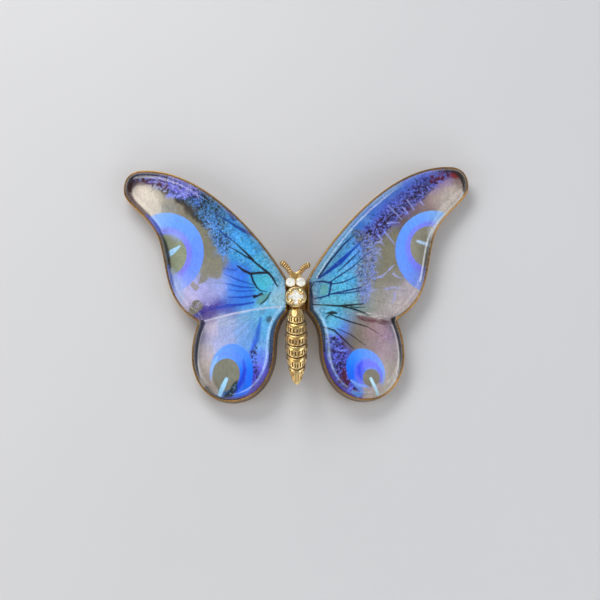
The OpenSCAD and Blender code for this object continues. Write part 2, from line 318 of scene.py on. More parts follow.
# Signed distance, roughly in mm, to an ellipse with radii a and b turned by an angle
def toEllipse(points, centre, a, b, angle=0.0):
    turn = math.radians(angle)
    rel = points - np.asarray(centre)
    x = rel[:, 0] * math.cos(turn) + rel[:, 1] * math.sin(turn)
    y = rel[:, 1] * math.cos(turn) - rel[:, 0] * math.sin(turn)
    return (np.hypot(x / a, y / b) - 1) * min(a, b)


# 1 where a distance is below zero, falling to 0 over a soft edge in mm
def under(gap, soft):
    t = np.clip(0.5 - gap / soft, 0, 1)
    return t * t * (3 - 2 * t)


# Smooth noise from 0 to 1: random values on a lattice with cells of a given size, eased between, and the mean
# of octaves that are each twice as fine
def latticeNoise(points, size, seed, octaves=3):
    rng = np.random.default_rng(seed)
    fade = 0.6                  # how much weaker each finer octave is
    total, weight = np.zeros(len(points)), 0.0
    for octave in range(octaves):
        table = rng.random((256, 256))
        p = points * 2 ** octave / size + 60
        cell = np.floor(p).astype(int)
        f = p - cell
        f = f * f * (3 - 2 * f)
        i, j = cell[:, 0] % 255, cell[:, 1] % 255
        low = table[i, j] * (1 - f[:, 0]) + table[i + 1, j] * f[:, 0]
        high = table[i, j + 1] * (1 - f[:, 0]) + table[i + 1, j + 1] * f[:, 0]
        total += (low * (1 - f[:, 1]) + high * f[:, 1]) * fade ** octave
        weight += fade ** octave
    return total / weight


class Picture:
    # Points of the wing's plane, each with a linear colour and a raised height, and seeded draws for the
    # strokes
    def __init__(self, points, seed):
        self.points = points
        self.colour = np.zeros((len(points), 3))
        self.height = np.zeros(len(points))
        self.rng = np.random.default_rng(seed)

    # A colour laid on: every point goes towards it by its own amount
    def lay(self, amount, rgb):
        self.colour += (tint(*rgb) - self.colour) * np.clip(amount, 0, 1)[:, None]

    # The ground: every point takes the mean of the anchor colours, weighted by exp(-distance squared / 2
    # reach squared)
    def ground(self, anchors, reach):
        anchors = np.asarray(anchors, float)
        bend = np.stack([latticeNoise(self.points, 2.2, 5), latticeNoise(self.points, 2.2, 6)], 1) - 0.5
        spot = self.points + bend * 1.6       # the fields' borders wander by up to 0.8 mm
        total = np.zeros(len(spot))
        for u, v, *rgb in anchors:
            weight = np.exp(-((spot - (u, v)) ** 2).sum(1) / (2 * reach ** 2)) + 1e-9
            self.colour += weight[:, None] * tint(*rgb)
            total += weight
        self.colour /= total[:, None]

    # A patch of one colour: a polygon with a soft edge, torn by a noise where asked
    def patch(self, corners, rgb, soft, power=1.0, torn=0.0):
        self.lay(under(toPolygon(self.points, corners) + torn, soft) * power, rgb)

    # A round patch: an ellipse with radii a and b turned by an angle
    def spot(self, centre, a, b, angle, rgb, soft, power=1.0, torn=0.0):
        self.lay(under(toEllipse(self.points, centre, a, b, angle) + torn, soft) * power, rgb)

    # A vein: a line whose width goes through some values from end to end, raised a little
    def vein(self, line, width, rgb, soft=0.1, strength=1.0, rise=0.03):
        line = np.asarray(line, float)
        reach = max(width) / 2 + soft
        low, high = line.min(0) - reach, line.max(0) + reach
        near = np.flatnonzero(((self.points > low) & (self.points < high)).all(1))
        gap, along = toLine(self.points[near], line)
        half = np.interp(along, np.linspace(0, 1, len(width)), width) / 2
        amount = (under(gap - half, soft) * strength)[:, None]
        self.colour[near] += (tint(*rgb) - self.colour[near]) * amount
        self.height[near] = np.maximum(self.height[near], amount[:, 0] * rise)

    # Short dashes scattered beside a spine, each with its own place, length, turn and colour
    def dashes(self, spine, spread, count, length, width, angle, jitter, shades, strength=(0.6, 1.0),
               bow=0.0):
        spine = np.asarray(spine, float)
        t = self.rng.random(count) * (len(spine) - 1)
        i = np.minimum(t.astype(int), len(spine) - 2)
        centre = spine[i] + (spine[i + 1] - spine[i]) * (t - i)[:, None]
        spreads = np.interp(t, np.arange(len(spine)), np.broadcast_to(spread, len(spine)))
        centre = centre + self.rng.uniform(-1, 1, (count, 2)) * spreads[:, None]
        turn = np.radians(angle + self.rng.normal(0, jitter, count))
        half = self.rng.uniform(*length, count) / 2
        wide = self.rng.uniform(*width, count)
        power = self.rng.uniform(*strength, count)
        pick = self.rng.integers(0, len(shades), count)
        for c, a, h, w, p, s in zip(centre, turn, half, wide, power, pick):
            d = np.array([math.cos(a), math.sin(a)])
            side = np.array([-d[1], d[0]]) * h * bow
            self.vein([c - h * d, c + side, c + h * d], (w * 0.6, w, w * 0.5), shades[s], 0.08, p, 0.012)

    # Fine random specks: places where a small-grained noise is high take the colour
    def specks(self, amount, size, level, rgb, seed):
        grain = latticeNoise(self.points, size, seed, 2)
        self.lay(under(level - grain, 0.07) * amount, rgb)


# A line that follows the outline clockwise between the places nearest to two points, some depth inside it
def edgeLine(start, stop, depth):
    ring = evenly(inset(outline, depth), 300)
    first, last = (int(np.argmin(((ring - point) ** 2).sum(1))) for point in (start, stop))
    return ring[(first + np.arange((last - first) % 300 + 1)) % 300]


# The left wing's picture: mm in the wing's plane, screen colours from 0 to 255
leftPicture = {
    "seed": 11,
    "veins": 1.35,           # how much wider the inked veins are than written below
    "ground": [
        # leading edge and root, sky to turquoise
        (2.2, -1, 150, 195, 225), (3.0, 1.5, 110, 185, 220), (2.3, -3.5, 150, 190, 205),
        (4.5, 4.5, 95, 180, 222), (5.0, 0.0, 75, 175, 215), (7.0, 7.0, 66, 165, 226),
        (6.2, 2.8, 62, 170, 215), (7.0, 1.0, 58, 158, 205), (9.0, 10.0, 60, 150, 225),
        (9.5, 6.5, 66, 170, 232), (11.5, 12.5, 52, 135, 220), (11.5, 9.5, 66, 160, 235),
        (12.5, 7.0, 78, 150, 230), (9.0, 3.8, 60, 150, 210), (10.5, 5.2, 52, 150, 205),
        (14.0, 15.0, 50, 130, 215), (13.5, 12.3, 60, 140, 215), (15.5, 14.5, 66, 130, 200),
        (17.0, 16.7, 60, 110, 200), (11.0, 3.0, 66, 120, 225),
        # the fan and the lilac field
        (9.5, 1.5, 50, 110, 220), (10.2, -0.7, 48, 128, 225), (9.8, -2.7, 40, 118, 215),
        (9.0, -4.0, 70, 150, 220), (11.6, -2.0, 72, 140, 226), (11.7, 0.6, 106, 152, 235),
        (13.5, 0.6, 150, 165, 220), (13.5, -1.3, 160, 166, 216), (15.5, 1.0, 150, 158, 205),
        (15.5, -2.2, 160, 160, 208), (17.5, -0.6, 172, 170, 220), (19.5, -1.9, 196, 190, 226),
        (20.4, -3.2, 190, 176, 205), (13.0, -3.6, 84, 84, 170), (15.4, -4.6, 88, 72, 150),
        (17.0, -5.3, 74, 56, 130), (11.5, -4.6, 76, 96, 180),
        # taupe field, brown wedge and cream tip; the taupe and cream colours are the print with a painted
        # pale reflection from the dome's top laid into them
        (13.6, 4.0, 134, 131, 112), (15.0, 7.5, 128, 125, 104), (15.5, 3.0, 140, 137, 120),
        (17.0, 9.6, 132, 129, 108), (18.5, 12.2, 126, 122, 102), (20.5, 14.4, 136, 130, 114),
        (22.5, 16.3, 150, 144, 130), (24.2, 17.3, 176, 168, 152), (26.0, 16.5, 214, 204, 190),
        (27.8, 17.4, 222, 212, 200), (25.6, 14.4, 206, 200, 190), (28.6, 18.3, 206, 194, 184),
        (22.5, 14.0, 146, 146, 142), (18.2, 16.2, 58, 66, 120), (20.5, 18.5, 70, 66, 150),
        (23.0, 20.0, 96, 90, 190), (25.0, 20.4, 84, 74, 150), (27.6, 20.2, 92, 78, 96),
        (29.3, 19.2, 96, 80, 92), (29.8, 17.4, 92, 66, 70),
        # hindwing
        (3.4, -5.4, 120, 190, 225), (5.0, -6.0, 98, 186, 228), (7.0, -5.6, 120, 190, 226),
        (9.5, -5.8, 130, 178, 212), (12.5, -6.2, 168, 180, 208), (15.5, -7.0, 196, 188, 206),
        (17.6, -9.0, 150, 148, 178), (5.3, -8.5, 100, 185, 232), (7.6, -8.2, 104, 164, 222),
        (10.0, -8.4, 134, 170, 222), (12.8, -8.8, 158, 170, 214), (15.3, -9.4, 178, 172, 200),
        (6.0, -11.0, 120, 180, 232), (9.2, -10.4, 112, 160, 220), (16.4, -11.8, 186, 178, 188),
        (17.6, -12.5, 188, 178, 180), (16.8, -14.6, 182, 172, 166), (16.6, -16.8, 170, 160, 152),
        (15.6, -18.6, 150, 142, 134), (14.0, -10.6, 168, 176, 216), (6.6, -13.2, 92, 130, 238),
        (6.0, -15.5, 104, 108, 232), (7.4, -16.8, 92, 88, 222), (8.6, -18.6, 88, 76, 200),
        (7.2, -19.0, 110, 90, 190), (10.0, -20.0, 90, 90, 205), (5.2, -14.0, 150, 165, 240),
        (13.0, -20.2, 80, 84, 130),
    ],
    "reach": 0.95,
}

# The right wing's picture, in the same units
rightPicture = {
    "seed": 23,
    "veins": 1.3,
    "ground": [
        # root and leading edge: pale sky blue at the edge, turquoise inside
        (2.0, -1.0, 150, 165, 195), (2.0, -3.4, 160, 160, 182), (3.0, 0.6, 150, 205, 240),
        (4.2, 3.0, 150, 208, 245), (6.0, 6.0, 145, 205, 246), (8.4, 9.2, 140, 200, 248),
        (11.0, 12.0, 132, 188, 250), (14.0, 14.8, 126, 178, 252), (17.0, 17.0, 124, 172, 252),
        (20.5, 19.0, 116, 162, 252), (24.0, 20.2, 112, 150, 245), (4.4, -0.2, 92, 186, 232),
        (4.6, -2.0, 98, 190, 222), (6.0, 2.0, 84, 184, 236), (7.0, -1.2, 84, 188, 226),
        (6.6, -3.2, 92, 186, 214), (9.0, 0.2, 88, 182, 232), (9.2, -2.4, 92, 188, 226),
        (8.0, 4.6, 84, 176, 240), (10.2, 3.6, 88, 168, 236), (9.6, 7.4, 84, 170, 245),
        (11.2, 9.6, 82, 150, 246), (12.0, 6.6, 98, 140, 236), (13.6, 12.4, 84, 142, 250),
        (13.2, 9.0, 98, 122, 236), (15.6, 13.6, 96, 130, 248), (16.0, 11.6, 98, 100, 214),
        (18.4, 15.8, 104, 130, 248), (18.4, 14.0, 92, 90, 200), (21.0, 17.0, 112, 116, 240),
        (21.0, 15.4, 84, 64, 140), (23.4, 18.6, 112, 110, 236), (25.6, 19.8, 130, 100, 210),
        (27.2, 20.6, 110, 86, 160),
        # taupe field, ring ground and cream tip; the taupe and cream colours are the print with a painted
        # pale reflection from the dome's top laid into them
        (11.6, 2.0, 120, 142, 170), (11.6, -1.6, 134, 156, 190), (13.0, 4.0, 130, 132, 124),
        (14.5, 7.0, 130, 126, 108), (14.0, 1.0, 138, 134, 116), (16.0, 9.2, 126, 121, 100),
        (16.6, 4.0, 134, 130, 112), (17.0, 0.4, 140, 136, 124), (18.4, 11.6, 112, 96, 84),
        (20.4, 13.4, 122, 106, 98), (22.4, 14.9, 142, 122, 118), (24.4, 16.2, 166, 150, 144),
        (26.4, 16.6, 188, 178, 170), (28.2, 17.6, 204, 194, 186), (27.6, 15.4, 196, 188, 182),
        (26.0, 18.3, 160, 138, 150), (29.0, 19.0, 176, 158, 156), (28.2, 20.2, 150, 84, 86),
        (13.4, -1.4, 150, 148, 140), (14.0, -3.6, 158, 154, 146), (16.0, -2.0, 160, 156, 156),
        (18.0, -1.4, 178, 170, 180), (19.8, -1.6, 200, 192, 200), (17.0, -4.6, 190, 182, 184),
        (19.0, -3.6, 206, 196, 196), (12.0, -4.4, 140, 150, 146), (9.6, -4.5, 110, 160, 170),
        (15.0, -5.8, 176, 168, 166),
        # hindwing
        (3.6, -5.6, 150, 205, 235), (5.6, -6.2, 92, 190, 226), (7.4, -6.8, 96, 182, 228),
        (9.2, -6.8, 118, 150, 186), (5.6, -8.4, 104, 190, 232), (8.0, -8.4, 90, 130, 235),
        (7.0, -9.6, 104, 140, 225), (10.4, -7.6, 134, 126, 116), (10.4, -9.6, 128, 120, 106),
        (8.2, -10.6, 110, 100, 110), (12.6, -8.4, 152, 130, 128), (14.8, -8.0, 168, 140, 150),
        (12.4, -10.6, 142, 130, 124), (14.2, -10.6, 168, 146, 158), (16.6, -9.6, 172, 158, 176),
        (16.0, -12.4, 172, 156, 162), (17.6, -12.6, 176, 168, 172), (16.6, -15.0, 178, 168, 162),
        (17.2, -16.4, 190, 184, 178), (15.4, -18.4, 196, 190, 184), (13.0, -19.9, 190, 178, 168),
        (6.4, -11.6, 94, 116, 226), (7.6, -12.8, 84, 76, 170), (6.4, -14.2, 92, 104, 236),
        (7.2, -16.2, 88, 84, 214), (8.6, -17.4, 92, 78, 200), (8.0, -19.0, 104, 80, 190),
        (9.6, -19.6, 90, 90, 214), (4.9, -9.4, 168, 214, 240), (5.3, -13.0, 150, 190, 245),
        (16.4, -7.4, 128, 110, 130), (17.4, -8.4, 130, 132, 160),
    ],
    "reach": 0.95,
}


# An eye: a ring between two ellipses whose colour turns with the angle about the pupil, and its pupil
def paintEye(pic, eye):
    p = pic.points
    outer = toEllipse(p, eye["outer"][0], *eye["outer"][1:])
    inner = toEllipse(p, eye["inner"][0], *eye["inner"][1:])
    centre = np.asarray(eye["outer"][0])
    turn = np.degrees(np.arctan2(p[:, 1] - centre[1], p[:, 0] - centre[0])) % 360
    stops = sorted(eye["ring"])
    at = [s[0] for s in stops]
    colours = np.array([tint(*s[1:]) for s in stops])
    ring = np.stack([np.interp(turn, at, colours[:, k], period=360) for k in range(3)], 1)
    # 0 at the ring's outer edge, 1 at the pupil
    deep = np.clip(-outer / np.maximum(-outer + inner, 1e-3), 0, 1)
    fade = under(np.abs(deep - eye["band"][0]) - eye["band"][1], 0.3)
    ring = ring + (tint(*eye["bandColour"]) - ring) * (fade * eye["bandPower"])[:, None]
    pic.colour += (ring - pic.colour) * under(outer, eye["soft"])[:, None]
    pupil = under(inner, 0.14)
    shade = latticeNoise(p, 1.1, 31)
    pic.lay(pupil, eye["pupil"])
    pic.lay(pupil * under(0.5 - shade, 0.6) * 0.4, eye["pupilDark"])
    pic.height = np.maximum(pic.height, under(outer, 0.2) * 0.02)


# The left wing's strokes over its ground, in the order they lie
def paintLeft(pic):
    ink = (8, 12, 26)
    olive, brown = (52, 54, 44), (42, 34, 30)
    lilac, pale = (134, 136, 236), (176, 180, 248)
    p = pic.points

    # brown wedge below the flecked band, with a soft torn edge
    torn = (latticeNoise(p, 1.3, 41) - 0.5) * 1.6
    wedge = toPolygon(p, [(15.6, 11.2), (16.6, 12.8), (18.0, 14.6), (19.4, 15.8), (21.8, 17.0),
                          (24.0, 18.0), (23.4, 17.2), (21.8, 16.1), (20.4, 14.7), (18.8, 12.9),
                          (17.2, 11.3), (16.0, 10.0)])
    pic.lay(under(wedge + torn, 0.9) * 0.9, (70, 62, 50))
    pic.lay(under(wedge + 0.5 + torn, 0.7) * 0.7, brown)

    # flecked teal band: dark and light dots over the blue, its lower side torn into the taupe
    band = [(14.8, 15.2), (15.4, 13.2), (14.4, 10.6), (13.6, 8.6), (12.7, 6.8)]
    flecked = toPolygon(p, [(19.4, 19.2), (17.0, 17.8), (15.0, 16.0), (13.2, 13.6), (12.2, 11.2),
                            (11.6, 8.4), (12.0, 5.8), (13.0, 5.4), (14.6, 7.6), (15.6, 9.8), (16.8, 12.2),
                            (18.6, 14.6), (20.6, 16.4)])
    inside = under(flecked + torn * 0.6, 1.5)
    pic.specks(inside * 0.85, 0.5, 0.5, (70, 92, 96), 71)
    pic.specks(inside * 0.85, 0.26, 0.54, (80, 146, 206), 72)
    pic.specks(inside * 0.95, 0.24, 0.54, (34, 38, 32), 73)
    rag = toPolygon(p, [(16.2, 12.0), (15.0, 9.2), (13.9, 7.0), (13.0, 4.4), (12.0, 5.4), (12.6, 8.4),
                        (14.0, 11.4), (15.2, 13.0)])
    pic.specks(under(rag + torn * 0.5, 0.9), 0.3, 0.58, (98, 156, 230), 74)
    pic.dashes(band, [1.6, 1.8, 1.5, 1.2, 1.0], 210, (0.14, 0.36), (0.08, 0.15), 40, 60,
               [(96, 158, 232), (86, 140, 226), (112, 182, 226)], (0.6, 1.0))
    pic.dashes(band, [1.7, 1.8, 1.5, 1.3, 1.0], 380, (0.1, 0.26), (0.09, 0.16), 40, 60,
               [olive, (24, 40, 50), (26, 24, 20)], (0.6, 1.0))
    pic.dashes([(16.4, 11.0), (15.2, 9.0), (13.6, 6.8), (12.9, 4.6)], 0.6, 50, (0.15, 0.4), (0.1, 0.18), 40,
               60, [(110, 160, 235), (96, 140, 220)], (0.5, 1.0))
    pic.dashes([(15.8, 16.2), (17.6, 15.6), (18.2, 17.4)], 1.0, 110, (0.14, 0.4), (0.09, 0.16), 60, 40,
               [(78, 124, 214), (110, 150, 240)], (0.5, 0.95))
    pic.dashes([(14.6, 15.6), (17.0, 16.2), (18.6, 17.6)], 1.0, 150, (0.1, 0.26), (0.09, 0.16), 60, 40,
               [(26, 34, 46), (34, 40, 34)], (0.6, 0.95))
    sky = toPolygon(p, [(2.0, -1.0), (15.4, 17.4), (13.0, 12.0), (11.4, 6.0), (5.0, -0.6)])
    pic.specks(under(sky - 0.6, 1.6) * 0.5, 0.24, 0.56, (26, 86, 130), 76)
    pic.specks(under(sky - 0.6, 1.6) * 0.3, 0.2, 0.6, (150, 214, 240), 77)

    # lilac net over dark violet, and red-brown patches towards the tip
    net = [(18.4, 17.2), (19.8, 18.2), (21.6, 19.0), (22.2, 19.8)]
    pic.patch([(18.3, 16.3), (18.2, 18.6), (22.2, 20.9), (23.2, 20.2), (22.4, 17.2), (20.6, 16.0)],
              (52, 48, 96), 1.0, 0.8)
    netArea = under(toPolygon(p, [(17.4, 15.9), (17.2, 18.2), (20.0, 20.3), (23.4, 21.2), (24.4, 20.6),
                                  (23.2, 18.2), (22.6, 16.8), (20.4, 15.8)]) + torn * 0.3, 0.9)
    pic.specks(netArea, 0.42, 0.44, (34, 30, 66), 78)
    pic.dashes(net, [1.3, 1.5, 1.5, 1.2], 330, (0.4, 1.2), (0.1, 0.19), 52, 38,
               [lilac, (120, 122, 232), pale], (0.75, 1.0), 0.35)
    for patch in ([(22.6, 18.3), (22.9, 19.6), (24.2, 19.9), (25.2, 19.5), (24.6, 18.5), (23.4, 17.9)],
                  [(25.3, 18.9), (25.6, 19.9), (27.0, 20.3), (27.5, 19.8), (26.6, 19.0)],
                  [(27.9, 19.6), (28.6, 20.2), (29.5, 19.2), (29.4, 18.2), (28.9, 18.9)]):
        pic.patch(patch, (92, 42, 46), 0.25, 0.92, torn * 0.3)
    pic.dashes([(22.8, 20.4), (25.0, 20.5), (27.2, 20.5), (28.6, 20.0)], [0.5, 0.5, 0.4, 0.3], 100,
               (0.3, 0.9), (0.12, 0.24), 20, 50, [lilac, pale, (108, 104, 210)], (0.7, 1.0), 0.3)
    pic.dashes([(22.8, 18.6), (24.6, 19.4), (26.4, 19.8)], 0.6, 44, (0.4, 1.1), (0.1, 0.18), 30, 50,
               [lilac, pale], (0.6, 1.0), 0.4)
    pic.dashes([(22.6, 17.4), (24.0, 17.9), (25.8, 18.4)], 0.45, 30, (0.3, 0.9), (0.1, 0.2), -30, 40,
               [(160, 170, 215), (46, 40, 48)], (0.5, 0.9), 0.3)
    pic.dashes([(19.6, 16.2), (21.4, 16.6), (22.6, 16.6)], 0.35, 26, (0.5, 1.4), (0.12, 0.2), -25, 30,
               [(150, 160, 240), (128, 140, 226)], (0.7, 1.0), 0.3)
    pic.dashes([(27.6, 20.0), (28.6, 19.6), (29.3, 18.6)], 0.4, 22, (0.3, 0.8), (0.1, 0.2), -50, 40,
               [(150, 130, 150), (110, 96, 120)], (0.4, 0.8))

    # cream tip, lighter still towards its outer end: the print with a painted pale reflection from the dome's
    # top
    cream = toPolygon(p, [(27.6, 19.0), (28.6, 18.9), (29.2, 18.3), (29.3, 17.5), (28.7, 16.3),
                          (26.2, 13.2), (25.0, 13.2), (24.3, 14.6), (24.4, 16.4), (25.4, 17.8), (26.4, 18.6)])
    pic.lay(under(cream + 0.2, 1.6) * 0.8, (206, 198, 186))
    pic.lay(under(cream + 0.1, 0.25) * under(26.8 - p[:, 0], 1.8), (218, 208, 196))

    # the forewing's eye: a wide blue ring cut by the trailing edge
    paintEye(pic, {
        "outer": [(23.6, 6.2), 7.2, 7.4, 0], "inner": [(23.2, 5.9), 3.7, 3.8, 0], "soft": 0.16,
        "ring": [(60, 176, 196, 250), (85, 140, 184, 255), (110, 112, 164, 255), (150, 106, 156, 255),
                 (185, 104, 146, 252), (215, 112, 150, 250), (235, 140, 160, 240), (262, 170, 190, 246),
                 (300, 180, 200, 250)],
        "band": (0.86, 0.16), "bandColour": (138, 122, 226), "bandPower": 0.75,
        "pupil": (148, 155, 130), "pupilDark": (128, 132, 108)})
    pic.spot((21.4, 9.4), 1.6, 0.7, 30, (160, 180, 240), 1.2, 0.5)
    pic.vein([(20.7, 7.4), (21.9, 6.6), (23.3, 5.5)], (0.25, 1.0, 0.75), (172, 216, 255), 0.18)
    pic.patch([(20.0, -2.4), (20.3, 0.6), (21.0, 2.2), (22.2, 3.2), (22.6, 0), (21.2, -3)], (176, 196, 246),
              1.4, 0.7)

    # fan of the forewing: deep blue rays from the root, and the lilac field's torn border
    fan = toPolygon(p, [(9.0, 3.6), (10.6, 3.2), (12.6, 2.6), (12.9, 0.6), (12.4, -1.2), (12.3, -2.6),
                        (12.8, -3.6), (10.0, -4.4), (8.0, -4.3), (7.4, -1.6)])
    pic.lay(under(fan + 0.5 + torn * 0.4, 1.8) * 0.3, (52, 128, 224))
    for ray, width, power in (([(7.6, -0.4), (10.2, 0.6), (12.8, 1.9)], (0.2, 0.3, 0.1), 0.8),
                              ([(7.4, -0.9), (10.0, -0.6), (12.6, 0.2)], (0.2, 0.34, 0.12), 0.9),
                              ([(7.3, -1.4), (9.8, -1.4), (12.2, -1.0)], (0.2, 0.26, 0.1), 0.75),
                              ([(7.2, -2.3), (9.6, -2.5), (12.2, -2.3)], (0.24, 0.34, 0.14), 0.95),
                              ([(7.6, -3.5), (10.0, -3.8), (12.6, -3.6)], (0.26, 0.42, 0.2), 0.95),
                              ([(9.4, 3.4), (10.8, 2.4), (13.0, 2.9)], (0.16, 0.3, 0.1), 0.6),
                              ([(11.0, -4.0), (13.0, -3.9), (15.6, -4.4)], (0.3, 0.5, 0.2), 0.7)):
        pic.vein(ray, width, (16, 62, 178), 0.2, power)
    for ray in ([(12.8, 2.0), (15.4, 2.4)], [(12.8, 0.2), (15.0, 0.6)], [(13.2, 4.8), (15.8, 6.0)],
                [(13.4, 3.6), (16.0, 3.9)]):
        pic.vein(ray, (0.08, 0.12, 0.04), (120, 118, 130), 0.14, 0.5)
    # the taupe patches and spot below: the print with a painted pale reflection from the dome's top, as in
    # the taupe field
    pic.patch([(13.3, 1.4), (14.0, 1.0), (15.6, 1.6), (16.3, 0.6), (17.6, 0.2), (16.6, 3.0), (13.2, 3.4)],
              (136, 133, 118), 0.25, 0.85, torn * 0.3)
    pic.patch([(17.2, -0.2), (18.6, 1.0), (18.9, 0.2), (18.0, -0.8)], (150, 145, 130), 0.2, 0.8, torn * 0.2)
    pic.spot((17.9, -3.6), 1.25, 1.05, -30, (128, 124, 108), 0.18, torn=torn * 0.1)
    pic.dashes([(13.6, -3.2), (16.2, -4.2), (17.6, -5.0)], [0.5, 0.5, 0.3], 70, (0.4, 1.2), (0.1, 0.22),
               -16, 16, [(66, 52, 140), (104, 84, 170), (44, 60, 160)], (0.4, 0.9))
    pic.dashes([(14.2, -2.9), (16.6, -3.2), (19.4, -3.6)], [0.3, 0.5, 0.4], 50, (0.2, 0.7), (0.1, 0.2), -20,
               40, [(190, 186, 226), (150, 146, 200)], (0.3, 0.7))

    # the veins of the root, inked
    for line, width in (([(3.5, -0.9), (4.2, 0.6), (4.9, 1.5)], (0.16, 0.24, 0.28)),
                        ([(4.9, 1.5), (6.6, 3.0), (8.3, 4.6)], (0.28, 0.26, 0.22)),
                        ([(7.6, 4.1), (9.0, 5.6), (11.0, 7.6)], (0.3, 0.22, 0.12)),
                        ([(8.1, 4.3), (9.8, 5.4), (11.9, 6.8)], (0.2, 0.16, 0.1)),
                        ([(4.8, 1.5), (6.4, 1.7), (8.1, 1.6)], (0.2, 0.34, 0.3)),
                        ([(8.0, 1.6), (9.2, 2.2), (10.4, 3.2)], (0.3, 0.34, 0.16)),
                        ([(8.0, 1.6), (7.7, 0.4), (7.0, -0.9)], (0.24, 0.26, 0.22)),
                        ([(7.0, -0.9), (6.4, -1.5), (5.2, -1.8)], (0.18, 0.14, 0.1)),
                        ([(4.6, -1.9), (5.3, -3.0), (6.4, -3.8)], (0.16, 0.24, 0.14))):
        pic.vein(line, np.multiply(width, leftPicture["veins"]), ink, 0.12)
    for line, width in (([(6.2, 6.8), (8.2, 8.3), (10.4, 10.0), (12.4, 11.6), (14.2, 12.8)],
                         (0.5, 0.36, 0.32, 0.26, 0.1)),
                        ([(10.0, 11.1), (11.1, 11.2), (12.2, 12.6), (13.8, 14.4)], (0.16, 0.26, 0.18, 0.1)),
                        ([(9.0, 10.0), (10.6, 11.6), (12.4, 13.4)], (0.1, 0.14, 0.08)),
                        ([(11.2, 7.8), (12.6, 8.9), (13.6, 9.8)], (0.2, 0.3, 0.14))):
        pic.vein(line, width, (14, 56, 150), 0.16, 0.9)
    pic.vein([(6.2, -2.1), (6.9, -2.4), (7.5, -2.5)], (0.5, 0.3, 0.6), ink, 0.15)
    pic.vein([(6.0, -2.3), (6.6, -2.1)], (0.3, 0.2), (60, 60, 70), 0.15)
    pic.spot((6.0, -3.0), 1.3, 0.7, -35, (92, 150, 140), 0.3, 0.75)
    pic.vein([(4.7, -2.1), (5.4, -3.2), (6.5, -4.0)], (0.14, 0.26, 0.16), (24, 58, 70), 0.14)
    pic.patch([(5.0, 1.2), (7.6, 1.3), (7.0, -0.6), (5.6, -1.4), (4.2, -0.2)], (74, 186, 200), 0.3, 0.5)
    pic.dashes([(2.6, -0.6), (3.4, 1.4), (4.8, 3.6), (6.0, 5.6)], 0.55, 120, (0.08, 0.24), (0.08, 0.18), 50,
               60, [(170, 205, 225), (60, 120, 160), (200, 225, 240)], (0.2, 0.6))
    pic.dashes([(2.2, -3.0), (4.0, -3.6), (6.4, -4.6)], 0.7, 100, (0.1, 0.5), (0.08, 0.2), -20, 40,
               [(110, 160, 170), (70, 130, 165), (190, 220, 232)], (0.25, 0.6))

    # hindwing: grey fan lines, deep streak, flecks, the pale inner rim and the eye
    for tip in ((14.6, -7.0), (14.0, -8.2), (12.6, -9.2), (11.4, -10.2), (9.6, -10.8)):
        pic.vein([(5.6, -5.0), ((5.6 + tip[0]) / 2, (tip[1] - 5.0) / 2 + 0.25), tip], (0.08, 0.14, 0.06),
                 (100, 124, 170), 0.16, 0.6)
    pic.vein([(3.0, -4.5), (7.2, -4.75), (11.4, -5.3), (17.0, -6.4)], (0.2, 0.24, 0.3, 0.24),
             (206, 206, 226), 0.25, 0.85)
    pic.vein([(6.4, -6.4), (6.9, -8.2), (7.2, -10.0), (8.2, -12.2)], (0.3, 0.75, 0.85, 0.4), (24, 84, 206),
             0.6, 0.85)
    pic.vein([(7.6, -9.6), (8.0, -10.8), (8.4, -12.6)], (0.3, 0.5, 0.2), (60, 110, 226), 0.4, 0.6)
    pic.dashes([(7.8, -11.6), (8.2, -14.0), (7.6, -16.0), (7.8, -18.4)], [0.6, 0.7, 0.8, 0.9], 130,
               (0.12, 0.4), (0.12, 0.24), 70, 40, [(30, 16, 60), (44, 20, 70), (24, 30, 90)], (0.6, 1.0))
    pic.dashes([(5.9, -10.4), (6.6, -12.0), (7.0, -14.0)], 0.8, 60, (0.1, 0.5), (0.08, 0.2), 80, 30,
               [(70, 90, 200), (140, 170, 240)], (0.3, 0.7))
    pic.dashes([(8.4, -17.4), (9.2, -19.2), (10.6, -20.2)], 0.7, 50, (0.1, 0.3), (0.1, 0.2), 70, 50,
               [(54, 40, 140), (120, 100, 220)], (0.4, 0.8))
    paintEye(pic, {
        "outer": [(11.9, -15.6), 3.85, 5.0, 4], "inner": [(12.9, -16.0), 2.5, 2.85, 8], "soft": 0.18,
        "ring": [(0, 140, 184, 255), (40, 120, 170, 252), (90, 104, 156, 250), (135, 70, 140, 250),
                 (170, 8, 122, 255), (215, 0, 116, 250), (255, 20, 118, 240), (290, 60, 110, 160),
                 (325, 150, 160, 180)],
        "band": (0.62, 0.14), "bandColour": (106, 132, 236), "bandPower": 0.35,
        "pupil": (132, 132, 118), "pupilDark": (118, 118, 104)})
    pic.patch([(15.4, -14.0), (15.7, -17.6), (14.8, -19.3), (13.8, -19.4), (15.2, -17.0)], (176, 164, 152),
              0.4, 0.9)
    pic.vein([(14.4, -12.9), (15.3, -14.6), (15.6, -16.8)], (0.5, 0.42, 0.1), (146, 188, 255), 0.18)
    pic.vein([(9.7, -13.6), (9.5, -15.4), (10.0, -17.2), (11.2, -18.9)], (0.1, 0.6, 0.9, 0.4),
             (14, 56, 206), 0.7, 0.9)
    pic.patch([(10.8, -17.0), (11.6, -17.6), (12.4, -18.8), (13.6, -19.6), (12.4, -20.0), (11.0, -18.7)],
              (16, 36, 40), 0.4, 0.95)
    pic.dashes([(11.2, -17.8), (12.2, -19.0)], 0.4, 14, (0.1, 0.2), (0.1, 0.16), 0, 60, [(120, 170, 210)],
               (0.5, 0.9))
    pic.vein([(9.2, -19.4), (11.0, -20.2), (13.0, -19.9), (15.0, -18.9)], (0.3, 0.3, 0.26, 0.12),
             (30, 120, 215), 0.2, 0.9)
    pic.vein([(12.8, -16.8), (13.3, -17.8), (13.9, -19.1)], (0.6, 0.85, 0.7), (166, 216, 250), 0.16)
    pic.spot((5.1, -6.6), 0.45, 0.6, 30, (66, 72, 80), 0.35, 0.85)
